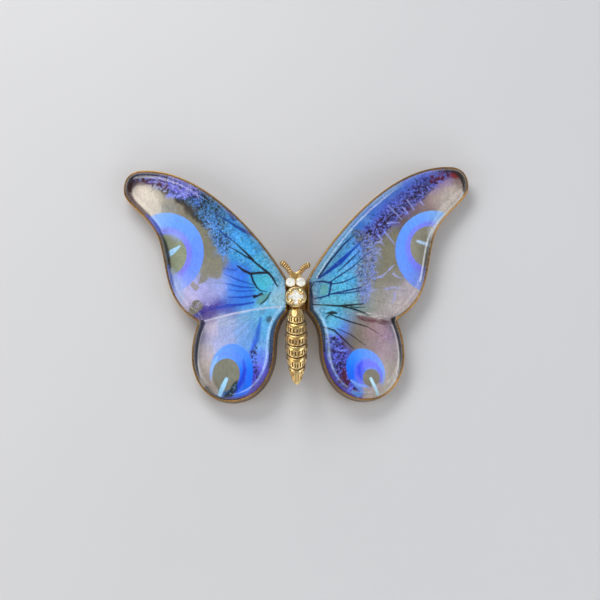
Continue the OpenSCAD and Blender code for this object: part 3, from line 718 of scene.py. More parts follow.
    pic.specks(under(toPolygon(p, [(3.0, -5.2), (8.0, -5.4), (8.2, -10.0), (5.4, -10.4)]) - 0.4, 1.4) * 0.3,
               0.22, 0.43, (60, 130, 190), 79)

    # bands and thin lines that follow the outline: from, to, depth, widths, colour, softness, strength. The
    # pale lines are painted highlights on the dome's shoulder; the near-black, slate and dark grey bands are
    # painted shade and dark reflection where the dome's edge meets the wall; the blue, violet and red-brown
    # bands are print
    for start, stop, depth, width, rgb, soft, power in (
            ((9.6, -20.8), (1.9, -6.0), 1.9, (0.1, 0.2, 0.26, 0.26, 0.26, 0.26, 0.2), (180, 212, 250), 0.3,
             0.6),
            ((13.0, -20.9), (3.9, -13.0), 1.2, (0.3, 0.7, 0.8, 0.8), (74, 66, 164), 0.3, 0.85),
            ((4.6, -15.4), (1.6, -5.2), 1.22, (0.4, 0.85, 0.9, 0.8, 0.5), (48, 64, 96), 0.25, 0.92),
            ((17.3, -6.65), (16.4, -18.0), 0.62, (0.6, 0.6, 0.66, 0.6, 0.3), (32, 38, 66), 0.2, 0.9),
            ((17.6, -7.6), (17.4, -16.4), 0.98, (0.12, 0.14, 0.1), (224, 226, 236), 0.14, 0.8),
            ((16.4, -18.0), (9.0, -20.4), 0.95, (0.3, 0.5, 0.4), (20, 24, 40), 0.2, 0.85),
            ((22.6, 20.9), (30.4, 18.6), 0.66, (0.2, 0.7, 0.9, 0.8), (66, 54, 74), 0.4, 0.85),
            ((30.4, 19.4), (26.6, 13.0), 0.8, (0.6, 1.0, 1.0, 0.9), (80, 36, 36), 0.4, 0.92),
            ((26.8, 13.2), (24.2, 9.6), 0.75, (0.8, 0.9, 0.9, 0.6), (20, 56, 176), 0.3, 0.92),
            ((24.4, 10.0), (22.8, 3.6), 0.7, (0.5, 0.8, 0.8, 0.5), (14, 18, 22), 0.3, 0.92),
            ((22.9, 4.2), (22.0, -2.0), 0.6, (0.4, 0.6, 0.4), (36, 74, 196), 0.25, 0.85),
            ((21.8, -3.0), (17.4, -6.6), 0.5, (0.2, 0.5, 0.6), (62, 46, 48), 0.25, 0.8),
            ((2.4, 1.8), (22.0, 20.7), 0.38, (0.16, 0.2, 0.2), (26, 44, 70), 0.14, 0.75)):
        pic.vein(edgeLine(start, stop, depth), width, rgb, soft, power)


# The right wing's strokes over its ground, in the order they lie
def paintRight(pic):
    lilac, peri = (142, 150, 236), (118, 142, 246)
    wine, black = (70, 14, 34), (20, 14, 34)
    p = pic.points
    torn = (latticeNoise(p, 1.2, 52) - 0.5) * 1.6

    # dark flecks along the band below the leading edge, wine red towards the tip
    low = [(10.6, 7.6), (13.2, 8.8), (15.4, 10.4), (17.4, 13.0), (19.8, 14.6), (21.8, 16.4), (23.4, 17.8)]
    mid = [(12.2, 9.8), (15.4, 12.4), (18.0, 15.2), (20.8, 17.2), (23.4, 18.8), (26.0, 20.0)]
    pic.patch([(12.6, 8.2), (16.0, 11.0), (16.6, 13.4), (19.0, 14.6), (21.6, 16.2), (24.0, 17.8),
               (23.6, 17.0), (20.6, 14.2), (18.4, 12.2), (16.4, 10.0), (14.0, 8.0)], (44, 22, 46), 1.0,
              0.75, torn)
    upper = under(toPolygon(p, [(11.0, 8.4), (14.0, 11.6), (17.6, 15.2), (21.4, 18.2), (25.4, 20.2),
                                (27.4, 20.6), (26.0, 19.2), (23.2, 17.2), (20.4, 14.8), (17.6, 12.8),
                                (15.6, 10.2), (12.8, 7.4)]) - 0.3 + torn * 0.3, 1.3)
    lower = under(toPolygon(p, [(10.6, 7.6), (13.4, 10.2), (16.2, 13.2), (19.4, 16.0), (22.8, 18.2),
                                (25.4, 19.4), (24.0, 17.4), (21.4, 15.4), (19.0, 13.2), (17.0, 10.8),
                                (15.0, 8.4), (12.6, 6.6)]) - 0.2 + torn * 0.4, 1.0)
    pic.specks(upper * 0.85, 0.34, 0.5, (64, 54, 160), 81)
    pic.specks(lower * 0.95, 0.5, 0.46, (40, 22, 44), 82)
    pic.specks(lower * 0.9, 0.42, 0.56, wine, 83)
    pic.specks(upper * 0.9, 0.26, 0.55, peri, 84)
    pic.dashes(low, [1.4, 1.3, 1.2, 1.1, 1.0, 0.8, 0.6], 330, (0.25, 0.8), (0.09, 0.16), 50, 50,
               [peri, lilac, (98, 112, 224)], (0.7, 1.0), 0.3)
    pic.dashes(mid, [0.9, 1.1, 1.2, 1.1, 0.9, 0.6], 260, (0.14, 0.45), (0.09, 0.16), 50, 55,
               [(34, 26, 86), wine, (44, 30, 110), black], (0.6, 0.95), 0.4)
    pic.dashes(low, [1.0, 1.0, 0.9, 0.8, 0.8, 0.7, 0.5], 330, (0.18, 0.6), (0.1, 0.2), 50, 60,
               [black, wine, (30, 18, 46), (48, 12, 34)], (0.7, 1.0), 0.5)
    pic.dashes(low, [1.7, 1.7, 1.5, 1.3, 1.2, 1.0, 0.7], 120, (0.3, 0.8), (0.08, 0.14), 50, 50,
               [peri, lilac], (0.7, 1.0), 0.4)
    pic.dashes(low, [0.8, 0.8, 0.7, 0.6, 0.6, 0.6, 0.4], 150, (0.2, 0.6), (0.12, 0.24), 50, 60,
               [black, (46, 10, 24)], (0.7, 1.0), 0.5)
    pic.dashes([(24.2, 19.0), (25.8, 19.8), (27.0, 20.2)], [0.5, 0.5, 0.4], 34, (0.3, 0.8), (0.26, 0.5), 70,
               30, [(96, 16, 34), (120, 24, 40), (80, 20, 50)], (0.7, 1.0), 0.3)
    pic.dashes([(24.0, 19.4), (26.4, 20.4)], 0.6, 40, (0.2, 0.6), (0.1, 0.2), 50, 50,
               [lilac, peri, (150, 110, 190)], (0.6, 1.0))
    pic.spot((28.3, 20.0), 0.75, 0.4, -20, (176, 60, 62), 0.3, 0.9, torn * 0.2)
    pic.dashes([(26.2, 18.3), (28.0, 19.2)], 0.5, 26, (0.3, 0.8), (0.1, 0.2), 40, 50,
               [(150, 140, 215), (190, 170, 190)], (0.4, 0.8))

    # hooked strokes that reach from the band into the taupe field
    for line in ([(16.2, 14.0), (17.4, 12.8), (18.6, 11.6)], [(16.0, 10.8), (17.0, 11.0), (18.2, 11.0)],
                 [(15.5, 9.2), (16.4, 8.2), (17.4, 6.9)], [(19.6, 15.2), (20.4, 14.2), (20.8, 13.4)],
                 [(18.8, 13.8), (19.4, 13.2), (19.8, 12.6)], [(14.4, 8.6), (15.0, 7.8), (14.6, 7.2)],
                 [(13.8, 7.2), (14.8, 7.4), (15.4, 6.8)], [(12.8, 5.6), (14.0, 6.2), (14.9, 6.0)],
                 [(12.6, 4.4), (13.6, 5.2), (14.6, 5.4)], [(22.0, 15.0), (22.4, 14.6), (22.7, 14.3)],
                 [(16.2, 2.4), (16.8, 3.0), (17.3, 3.4)], [(14.2, 1.0), (15.2, 1.4), (16.0, 2.2)],
                 [(13.0, 0.6), (14.4, 1.0), (15.2, 1.0)], [(17.0, 1.8), (17.8, 1.2), (18.8, 1.0)],
                 [(15.6, -1.0), (17.0, -0.7), (18.4, -0.8)], [(12.6, -1.6), (13.4, -1.3), (14.2, -1.2)],
                 [(17.2, -1.6), (17.2, -2.8), (16.6, -3.6)]):
        pic.vein(line, (0.3, 0.22, 0.1), (158, 168, 232), 0.14, 0.85)
    frayed = (latticeNoise(p, 1.8, 57) - 0.5) * 3.4
    verge = under(toPolygon(p, [(10.4, 8.6), (11.0, 4.6), (10.8, 1.0), (10.6, -2.4), (11.0, -4.2),
                                (12.4, -4.0), (12.9, -1.0), (13.6, 1.6), (14.2, 4.6),
                                (14.6, 7.8)]) + frayed, 1.4)
    pic.specks(verge * 0.9, 0.4, 0.5, (128, 126, 112), 85)
    pic.specks(verge * 0.85, 0.28, 0.55, (126, 150, 222), 86)
    pic.specks(verge * 0.8, 0.24, 0.62, (52, 66, 96), 87)
    worms = [(13.4, 7.4), (13.2, 4.4), (12.4, 2.0), (12.0, -1.0), (12.0, -3.0)]
    pic.dashes(worms, [1.6, 1.8, 1.5, 1.1, 0.7], 260, (0.15, 0.6), (0.08, 0.15), 40, 60,
               [(134, 150, 226), (152, 166, 228), (110, 130, 200)], (0.55, 1.0), 0.4)
    pic.dashes([(11.4, 7.0), (11.6, 4.0), (11.0, 1.0), (11.0, -3.4)], [1.2, 1.0, 0.7, 0.6], 170, (0.1, 0.3),
               (0.08, 0.14), 40, 60, [(40, 56, 110), (58, 60, 70), (30, 50, 90)], (0.5, 0.9), 0.3)
    sky = toPolygon(p, [(2.0, -1.0), (10.6, 9.6), (11.4, 4.0), (11.0, -3.6), (5.6, -8.6), (2.6, -5.6)])
    pic.specks(under(sky - 0.3, 1.4) * 0.45, 0.24, 0.57, (30, 100, 140), 88)
    pic.specks(under(sky - 0.3, 1.4) * 0.3, 0.2, 0.6, (170, 226, 240), 89)
    for line in ([(13.0, -0.6), (16.2, -1.0), (20.0, -1.2)], [(12.4, 2.6), (15.0, 3.0), (18.0, 3.8)],
                 [(13.4, 6.0), (15.0, 7.6), (17.0, 9.4)], [(12.2, -2.8), (15.4, -3.4), (18.8, -3.8)]):
        pic.vein(line, (0.08, 0.1, 0.05), (112, 110, 104), 0.14, 0.5)

    # the forewing's eye
    paintEye(pic, {
        "outer": [(24.9, 5.9), 7.5, 7.6, 0], "inner": [(23.9, 6.8), 3.8, 3.85, 0], "soft": 0.16,
        "ring": [(60, 176, 214, 255), (90, 140, 190, 255), (115, 112, 166, 255), (150, 104, 160, 255),
                 (185, 104, 156, 255), (215, 112, 156, 255), (240, 142, 166, 248), (262, 176, 184, 244),
                 (300, 190, 190, 240)],
        "band": (0.88, 0.2), "bandColour": (140, 130, 250), "bandPower": 0.7,
        "pupil": (152, 150, 134), "pupilDark": (132, 130, 112)})
    pic.vein([(21.5, 7.8), (22.5, 7.5), (23.7, 7.1)], (0.5, 0.6, 0.7), (186, 214, 244), 0.18, 0.95)
    pic.vein([(23.4, 8.6), (23.4, 9.6), (23.7, 10.8)], (0.3, 0.5, 0.3), (176, 186, 200), 0.4, 0.7)

    # inked and blue veins of the root
    pic.vein([(3.7, 0.3), (5.6, 1.9), (7.6, 3.6), (9.4, 5.4), (11.4, 7.4)], (0.2, 0.6, 0.85, 0.4, 0.15),
             (10, 74, 186), 0.24)
    for line, width in (([(3.8, 0.6), (5.8, 3.6), (8.0, 6.4), (10.2, 8.6)], (0.22, 0.22, 0.2, 0.1)),
                        ([(5.6, -0.2), (7.6, 1.2), (9.6, 2.6), (11.8, 4.6)], (0.16, 0.2, 0.18, 0.1)),
                        ([(7.0, 1.6), (8.8, 3.4), (11.0, 5.6)], (0.12, 0.24, 0.1)),
                        ([(3.4, -0.2), (4.6, -0.1), (5.9, -0.4)], (0.14, 0.3, 0.3)),
                        ([(5.9, -0.3), (5.7, -1.4), (5.4, -2.6)], (0.34, 0.26, 0.24)),
                        ([(3.2, -3.2), (4.3, -2.9), (5.5, -2.5)], (0.16, 0.24, 0.22)),
                        ([(3.2, -0.2), (2.6, -1.6), (3.0, -3.0)], (0.12, 0.16, 0.14)),
                        ([(5.5, -2.4), (8.2, -1.7), (11.2, -0.9)], (0.2, 0.26, 0.16)),
                        ([(5.9, -0.5), (8.0, -0.1), (10.8, 1.2)], (0.16, 0.2, 0.1)),
                        ([(5.9, -2.3), (8.6, -2.0), (11.4, -1.5)], (0.12, 0.2, 0.12))):
        pic.vein(line, np.multiply(width, rightPicture["veins"]), (8, 44, 112), 0.12, 0.95)
    for line, width in (([(3.0, -4.25), (7.4, -4.35), (9.4, -4.1), (11.6, -3.8)], (0.14, 0.26, 0.3, 0.14)),
                        ([(7.4, -4.35), (9.6, -4.7), (12.4, -5.6)], (0.2, 0.3, 0.14)),
                        ([(8.8, -4.2), (10.4, -4.5), (12.0, -4.4)], (0.1, 0.16, 0.06)),
                        ([(5.2, -5.7), (6.0, -5.6), (6.9, -5.65)], (0.2, 0.5, 0.2)),
                        ([(5.0, -6.6), (5.4, -6.1), (5.9, -5.7)], (0.1, 0.18, 0.2)),
                        ([(5.9, -6.0), (9.0, -7.0), (12.4, -7.9), (15.0, -9.4)], (0.18, 0.22, 0.16, 0.06)),
                        ([(4.4, -7.9), (6.4, -8.7), (7.6, -9.8), (9.8, -11.8)], (0.14, 0.26, 0.24, 0.1)),
                        ([(5.0, -9.2), (6.6, -10.4), (8.4, -12.4)], (0.12, 0.2, 0.08)),
                        ([(7.0, -8.4), (9.4, -9.4), (12.0, -11.2)], (0.1, 0.14, 0.06))):
        pic.vein(line, np.multiply(width, rightPicture["veins"]), (10, 16, 26), 0.12, 0.95)
    pic.patch([(4.2, -0.5), (5.4, -0.6), (5.1, -2.4), (4.0, -2.6)], (116, 176, 168), 0.3, 0.7)
    pic.vein([(4.2, -0.4), (3.9, -1.6), (3.8, -2.8)], (0.1, 0.14, 0.1), (60, 120, 160), 0.12, 0.7)
    pic.dashes([(3.0, -3.8), (5.0, -3.9), (8.0, -3.4)], 0.5, 110, (0.08, 0.24), (0.08, 0.16), 0, 60,
               [(70, 130, 150), (150, 200, 210)], (0.2, 0.6))
    pic.dashes([(4.4, 1.6), (7.0, 2.4), (9.0, 1.0), (8.0, -2.6)], 1.2, 160, (0.08, 0.2), (0.08, 0.14), 50,
               60, [(60, 140, 190), (140, 205, 235)], (0.15, 0.5))
    pic.patch([(1.6, -4.9), (2.3, -4.0), (3.2, -3.9), (3.0, -3.2), (2.3, -2.4), (1.6, -1.6)],
              (150, 146, 158), 0.8, 0.6)
    pic.vein([(2.9, 1.6), (5.6, 5.4), (9.0, 9.6), (13.6, 14.0), (18.6, 17.7)], (0.5, 0.7, 0.8, 0.8, 0.3),
             (176, 220, 252), 0.8, 0.5)
    pic.vein([(10.6, 11.0), (13.6, 13.4), (17.0, 16.0), (20.4, 18.2)], (0.2, 0.5, 0.5, 0.2), (70, 130, 240),
             0.4, 0.6)

    # hindwing: wine strip at the seam, soft clouds, flecked inner side and the eye
    strip = toPolygon(p, [(9.8, -5.9), (12.2, -6.0), (15.4, -6.5), (16.4, -6.9), (15.4, -7.4), (12.6, -7.2),
                          (10.8, -6.7)])
    pic.lay(under(strip + 0.12 + torn * 0.35, 0.7) * 0.7, (96, 52, 58))
    pic.dashes([(10.4, -6.2), (15.8, -7.0)], 0.4, 50, (0.2, 0.9), (0.08, 0.2), -8, 14,
               [(56, 22, 30), (128, 74, 82), (120, 100, 104)], (0.4, 0.9))
    pic.dashes([(9.6, -5.4), (12.6, -5.7), (15.8, -6.1)], 0.25, 40, (0.3, 1.0), (0.08, 0.18), -8, 10,
               [(220, 212, 212), (120, 118, 120)], (0.3, 0.8))
    soft = latticeNoise(p, 2.6, 61)
    pinkish = toPolygon(p, [(12.0, -8.0), (16.6, -7.6), (17.8, -11.0), (17.4, -14.0), (14.6, -12.4),
                            (12.4, -11.0)])
    pic.lay(under(pinkish, 2.0) * under(0.5 - soft, 0.3) * 0.35, (182, 154, 170))
    pic.dashes([(15.4, -8.2), (16.4, -10.0), (15.0, -9.6)], 0.9, 40, (0.2, 0.8), (0.1, 0.26), -30, 50,
               [(150, 100, 120), (186, 150, 190), (166, 150, 190)], (0.25, 0.6))
    inner = [(6.2, -10.4), (6.8, -12.6), (7.4, -14.8), (7.6, -16.8), (8.8, -18.6)]
    side = under(toPolygon(p, [(5.4, -9.4), (7.6, -9.6), (8.6, -12.4), (8.8, -15.4), (10.4, -18.4),
                               (11.2, -20.2), (8.2, -19.8), (6.2, -16.4), (5.6, -12.6)]) + torn * 0.3, 0.8)
    pic.specks(side * 0.9, 0.46, 0.48, (34, 28, 90), 90)
    pic.specks(side * 0.7, 0.5, 0.6, (84, 20, 50), 92)
    pic.specks(side * 0.9, 0.28, 0.56, (104, 118, 236), 93)
    pic.dashes(inner, [1.0, 1.2, 1.2, 1.2, 1.0], 150, (0.2, 0.7), (0.09, 0.15), 80, 70,
               [(110, 130, 240), (134, 140, 240), (100, 96, 226)], (0.6, 1.0), 0.4)
    pic.dashes(inner, [0.9, 1.0, 1.1, 1.1, 1.0], 210, (0.16, 0.5), (0.1, 0.18), 80, 60,
               [(14, 12, 44), (34, 14, 50), (24, 24, 80), (16, 14, 22)], (0.7, 1.0), 0.4)
    pic.dashes([(8.2, -15.4), (8.0, -17.0), (8.8, -18.4)], [0.4, 0.6, 0.6], 26, (0.3, 0.7), (0.3, 0.5), 70,
               40, [(96, 18, 44), (84, 20, 60)], (0.6, 0.95), 0.3)
    pic.vein([(6.6, -11.9), (7.6, -12.3), (8.9, -12.0)], (0.1, 0.26, 0.1), (130, 150, 240), 0.14)
    paintEye(pic, {
        "outer": [(12.0, -15.6), 3.3, 4.0, 28], "inner": [(13.0, -16.9), 1.5, 1.6, 0], "soft": 0.18,
        "ring": [(0, 128, 172, 255), (50, 124, 160, 252), (90, 104, 160, 255), (130, 60, 146, 255),
                 (170, 6, 122, 255), (210, 10, 112, 250), (250, 110, 150, 235), (285, 180, 170, 180),
                 (330, 160, 180, 235)],
        "band": (0.7, 0.24), "bandColour": (124, 122, 246), "bandPower": 0.8,
        "pupil": (142, 136, 122), "pupilDark": (120, 116, 102)})
    pic.vein([(11.3, -14.2), (10.9, -15.0), (10.8, -15.9), (11.2, -17.0)], (0.3, 0.8, 0.8, 0.3),
             (20, 68, 234), 1.1, 0.85)
    pic.patch([(11.2, -18.2), (12.0, -19.4), (14.2, -19.2), (15.0, -18.6), (14.6, -17.6), (12.8, -18.6)],
              (190, 178, 168), 0.5, 0.85)
    pic.vein([(9.4, -17.4), (10.6, -18.2), (12.4, -18.4)], (0.3, 0.6, 0.2), (134, 170, 246), 0.25)
    pic.vein([(9.8, -19.2), (10.6, -19.6), (11.4, -19.3)], (0.5, 0.8, 0.3), (92, 150, 225), 0.3)
    pic.vein([(12.9, -17.0), (13.5, -18.2), (14.2, -19.6)], (0.5, 0.6, 0.4), (196, 232, 250), 0.16)

    # bands and thin lines that follow the outline: from, to, depth, widths, colour, softness, strength. The
    # pale lines are painted highlights on the dome's shoulder; the near-black and slate bands are painted
    # shade and dark reflection where the dome's edge meets the wall; the violet band is print
    for start, stop, depth, width, rgb, soft, power in (
            ((8.0, -19.8), (1.6, -5.0), 1.9, (0.1, 0.2, 0.26, 0.26, 0.26, 0.26, 0.2), (180, 212, 250), 0.3,
             0.6),
            ((10.0, -20.9), (4.1, -12.0), 1.2, (0.3, 0.7, 0.8, 0.6), (72, 62, 168), 0.3, 0.88),
            ((3.9, -12.4), (1.5, -0.6), 1.2, (0.4, 0.85, 0.9, 0.8, 0.5), (52, 66, 92), 0.25, 0.92),
            ((2.4, 1.6), (24.0, 20.9), 0.38, (0.2, 0.3, 0.2), (20, 30, 50), 0.14, 0.85),
            ((24.0, 21.0), (26.4, 13.2), 0.6, (0.2, 0.5, 0.6, 0.6, 0.5), (44, 34, 40), 0.25, 0.85),
            ((30.2, 16.8), (22.8, 0.4), 0.95, (0.12, 0.2, 0.18, 0.16), (232, 238, 248), 0.16, 0.85),
            ((26.6, 13.4), (21.8, -2.6), 0.52, (0.5, 0.6, 0.6, 0.5), (14, 18, 34), 0.16, 0.92),
            ((21.8, -2.6), (17.3, -6.65), 0.6, (0.5, 0.7, 0.7), (16, 16, 24), 0.2, 0.9),
            ((17.5, -7.2), (12.0, -21.0), 0.9, (0.12, 0.2, 0.2, 0.14), (226, 226, 230), 0.16, 0.8),
            ((17.3, -6.65), (8.0, -20.6), 0.5, (0.5, 0.6, 0.6, 0.4), (12, 12, 20), 0.16, 0.92)):
        pic.vein(edgeLine(start, stop, depth), width, rgb, soft, power)


# Height of the seam between forewing and hindwing, at a distance u from the middle
def seamAt(u):
    line = np.array(wing["seam"], float)
    return np.interp(u, line[:, 0], line[:, 1])


# One picture slip as a grid: row j lies at the share t of the way from the seam (0) to the far end (1),
# v = seam + t (far - seam), and its ends are where the inset outline crosses it
def slipGrid(ring, far, rows, cols):
    t = (ring[:, 1] - seamAt(ring[:, 0])) / (far - seamAt(ring[:, 0]))
    top = int(np.argmax(t))
    sides = []
    for order in (1, -1):
        chain = (top + order * np.arange(len(ring))) % len(ring)
        stop = int(np.argmax(t[chain] < 0)) + 1
        u, share = ring[chain[:stop], 0][::-1], np.maximum.accumulate(t[chain[:stop]][::-1])
        sides.append((share, u))
    t = 0.9985 * (1 - (1 - np.linspace(0, 1, rows)) ** 1.15)      # rows lie closer towards the far end
    ends = np.stack([np.interp(t, *side) for side in sides])
    low, high = ends.min(0), ends.max(0)
    u = low[:, None] + (high - low)[:, None] * np.linspace(0, 1, cols)
    seam = seamAt(u)
    return np.stack([u, seam + t[:, None] * (far - seam)], -1)


# How fine the slips are, and how their surface shimmers
slip = {
    "foreRows": 285, "foreCols": 245,
    "hindRows": 200, "hindCols": 190,
    "waver": 0.012,          # mm, the slip isn't quite flat
    "mottle": 0.22,          # how much the ground's brightness wanders
    "deepen": 1.12,          # power that deepens the painted colours
}


# The scales' shimmer over the painted colour: fine grain in tone, roughness and height
def slipMaterial(name, look):
    n = Nodes(name)
    where = n.add("TexCoord").outputs["Object"]
    paint = n.add("Attribute", {"attribute_name": "paint"}).outputs["Color"]
    grain = n.noise(where, look["grain"], 2.0, 0.6)
    streak = n.noise(n.add("Mapping", {"vector_type": "POINT"}, Vector=where, Scale=(1.0, 0.35, 1.0)),
                     look["streak"], 3.0)
    tone = n.ramp(grain, 0.32, 0.68, 1 - look["depth"], 1 + look["depth"])
    along = n.ramp(streak, 0.3, 0.7, 1 - look["depth"] * 0.6, 1 + look["depth"] * 0.6)
    both = n.add("Math", {"operation": "MULTIPLY"}, i0=tone, i1=along)
    mixed = n.mixColour(1.0, paint, n.add("CombineColor", i0=both, i1=both, i2=both), "MULTIPLY")
    rough = n.ramp(grain, 0.3, 0.7, *look["rough"])
    bump = n.add("Bump", Strength=look["bump"], Distance=0.00003, Height=grain)
    return n.finish(n.add("BsdfPrincipled", **{
        "Base Color": mixed, "Roughness": rough, "Specular IOR Level": look["shine"], "Normal": bump}))


forewingSlip = slipMaterial("forewingSlip", {
    "grain": 5200.0, "streak": 2600.0, "depth": 0.15, "rough": (0.5, 0.72), "bump": 0.25, "shine": 0.12})
hindwingSlip = slipMaterial("hindwingSlip", {
    "grain": 5200.0, "streak": 2400.0, "depth": 0.15, "rough": (0.5, 0.72), "bump": 0.25, "shine": 0.12})


# Builds one slip from its part of the painted picture: its top, a wall down to the back plate, and a flat
# back
def makeSlip(name, grid, colour, height, side, material, slotName, node):
    rows, cols = grid.shape[:2]
    u, v = grid[..., 0].ravel(), grid[..., 1].ravel()
    waver = (latticeNoise(grid.reshape(-1, 2), 3.0, 77) - 0.5) * slip["waver"]
    top = onWing(u, v, wing["inlayTop"] + height + waver, side)
    index = np.arange(rows * cols).reshape(rows, cols)
    edge = np.r_[index[0, :-1], index[:-1, -1], index[-1, :0:-1], index[:0:-1, 0]]
    back = onWing(u[edge], v[edge], wing["inlayFloor"], side)
    k, start = np.arange(len(edge)), rows * cols
    wall = np.stack([edge, start + k, start + (k + 1) % len(edge), np.roll(edge, -1)], 1)
    down = side * (grid[-1, 0, 1] - grid[0, 0, 1]) < 0
    piece = makePiece(name, np.vstack([top, back]), [gridFaces(rows, cols), wall, (start + k[::-1])[None]],
                      material, slot=slotName, flip=down)
    setPaint(piece, np.vstack([colour, colour[edge]]))
    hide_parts(node)


# Paints one wing's picture over both of its slips at once, and builds them
def makeWingPicture(word, side, look, paint):
    ring = inset(outline, wing["rim"] - 0.02)
    fore = slipGrid(ring, ring[:, 1].max(), slip["foreRows"], slip["foreCols"])
    hind = slipGrid(ring, ring[:, 1].min(), slip["hindRows"], slip["hindCols"])
    points = np.vstack([fore.reshape(-1, 2), hind.reshape(-1, 2)])
    pic = Picture(points, look["seed"])
    pic.ground(look["ground"], look["reach"])
    mottle = latticeNoise(points, 0.5, look["seed"] + 1)[:, None] - 0.5
    pic.colour *= 1 + slip["mottle"] * mottle
    paint(pic)
    pic.colour = np.clip(pic.colour, 0.0, 1.0) ** slip["deepen"]
    cut = fore.shape[0] * fore.shape[1]
    makeSlip("forewingPicture_" + word, fore, pic.colour[:cut], pic.height[:cut], side, forewingSlip,
             "forewing_inlay", "forewing_inlay_" + word)
    makeSlip("hindwingPicture_" + word, hind, pic.colour[cut:], pic.height[cut:], side, hindwingSlip,
             "hindwing_inlay", "hindwing_inlay_" + word)


makeWingPicture("left", -1, leftPicture, paintLeft)
makeWingPicture("right", 1, rightPicture, paintRight)
print("pictures painted and laid")


# Rings inside the outline, one for each depth in mm: a line four times as fine moves in along its normals by
# small steps, and after each step every point takes the mean of its neighbours, so that it never folds
def ringsInside(depths):
    ring, at, rings = wingOutline(4 * len(outline)), 0.0, []
    for depth in depths:
        steps = math.ceil(abs(depth - at) / 0.025)
        reach = 5 if depth > 0.35 else 1
        for _ in range(steps):
            ring = inset(ring, (depth - at) / steps)
            ring = sum(np.roll(ring, shift, 0) for shift in range(-reach, reach + 1)) / (2 * reach + 1)
        at = depth
        rings.append(ring[::4])
    return rings


# Clear dome: height above the wall is rise (1 - exp(-d / shoulder)), d being the distance in from the wall
dome = {
    "floor": 0.5,        # mm, just under the picture's face, so that nothing lies between them
    "gap": 0.01,         # to the wall
    "shoulder": 0.46,
    "foot": 0.1,         # height of its first step, and how far below the wall's top its side ends
    "side": 0.15,
    "depths": [0.0, 0.03, 0.07, 0.13, 0.2, 0.29, 0.4, 0.54, 0.72, 0.94, 1.2, 1.5],
    "shrinks": [0.965, 0.92, 0.86, 0.78, 0.68, 0.56, 0.43, 0.3, 0.18, 0.08],
    "crown": 7.0,        # mm from the last depth to the heart
}


# The dome is a closed stack of rings: a flat foot, an upright side, the shoulder in rings that follow the
# wall, and a crown of rings that shrink on the heart
def makeDome(word, side):
    base = wing["rim"] + dome["gap"]
    rings = ringsInside([base + d for d in dome["depths"]])
    heart, last = np.array(wing["heart"]), rings[-1]
    rings += [heart + (last - heart) * s for s in dome["shrinks"]]
    depths = dome["depths"] + [dome["depths"][-1] + (1 - s) * dome["crown"] for s in dome["shrinks"]]
    heights = [wing["wall"] + wing["domeRise"] * (1 - math.exp(-d / dome["shoulder"])) for d in depths]
    rings = [rings[0], rings[0], rings[0]] + rings
    heights = [dome["floor"], dome["floor"] + dome["foot"], wing["wall"] - dome["side"]] + heights
    rings.insert(0, heart + (rings[0] - heart) * 0.98)
    heights.insert(0, dome["floor"])
    n, m = len(outline), len(rings)
    flat = np.vstack(rings)
    points = onWing(flat[:, 0], flat[:, 1], np.repeat(heights, n), side)
    ends = onWing(np.repeat(heart[0], 2), np.repeat(heart[1], 2),
                  np.array([dome["floor"], heights[-1] + 0.0005]), side)
    faces = closedFaces(m, n)
    piece = makePiece("dome_" + word + "_clear", np.vstack([points, ends]), faces, clearDome,
                      slot="clear_dome", flip=side > 0)
    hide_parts("dome_" + word)


# Bezel: a thin wall with a burnished lip rolled towards the dome; depth in from the outline, and height
bezel = {
    "profile": [(0.29, 0.02), (0.29, 2.1), (0.285, 2.22), (0.25, 2.3), (0.18, 2.335), (0.1, 2.325),
                (0.03, 2.27), (0.0, 2.18), (0.012, 2.05), (0.03, 1.9), (0.03, 0.7), (0.015, 0.5),
                (0.0, 0.36), (0.0, 0.02)],
    "hammer": 0.006,      # mm, unevenness left by the burnisher
}
bezelBrass = giltMaterial("bezelBrass", {
    "deep": (98, 66, 28), "bright": (138, 98, 46), "edge": (190, 148, 84), "hollowShade": (56, 36, 14),
    "cloudScale": 500.0, "grainScale": 6000.0, "rough": (0.18, 0.34), "bump": 0.3})


# The bezel is its profile carried round the outline: rings are made in order of depth and put back in the
# profile's order, and noise lifts those above 1 mm
def makeBezel(word, side):
    n = len(outline)
    order = np.argsort([d for d, _ in bezel["profile"]], kind="stable")
    rings = dict(zip(order, ringsInside([bezel["profile"][i][0] for i in order])))
    flat = np.vstack([rings[i] for i in range(len(bezel["profile"]))])
    w = np.repeat([h for _, h in bezel["profile"]], n)
    uneven = (latticeNoise(flat, 1.1, 91) - 0.5) * bezel["hammer"] * 2
    w = w + np.where(w > 1.0, uneven, 0)
    points = onWing(flat[:, 0], flat[:, 1], w, side)
    faces = gridFaces(len(bezel["profile"]), n, wrapRows=True, wrapCols=True)
    piece = makePiece("bezel_" + word + "_wall", points, [faces], bezelBrass, slot="antique_brass",
                      flip=side < 0)
    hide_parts("bezel_" + word)


for word, side in (("left", -1), ("right", 1)):
    makeDome(word, side)
    makeBezel(word, side)
print("domes and bezels set")


# A turned shape: profile points (radius, height) in mm swept round Z at a centre; the ends close on the axis
def turned(profile, n, centre, wobble=None):
    profile = np.asarray(profile, float)
    a = np.arange(n) * 2 * math.pi / n
    r = np.repeat(profile[:, 0], n)
    z = np.repeat(profile[:, 1], n)
    a = np.tile(a, len(profile))
    if wobble is not None:
        r, z = wobble(r, z, a)
    points = np.stack([centre[0] + r * np.cos(a), centre[1] + r * np.sin(a), centre[2] + z], 1)
    ends = np.array([[centre[0], centre[1], centre[2] + profile[k, 1]] for k in (0, -1)])
    return np.vstack([points, ends]) * mm, closedFaces(len(profile), n)


# Adds one mesh after another: points stacked, and each one's faces moved on by the points before it
def joined(parts):
    points, faces, start = [], [], 0
    for p, fs in parts:
        points.append(p)
        faces += [f + start for f in fs]
        start += len(p)
    return np.vstack(points), faces


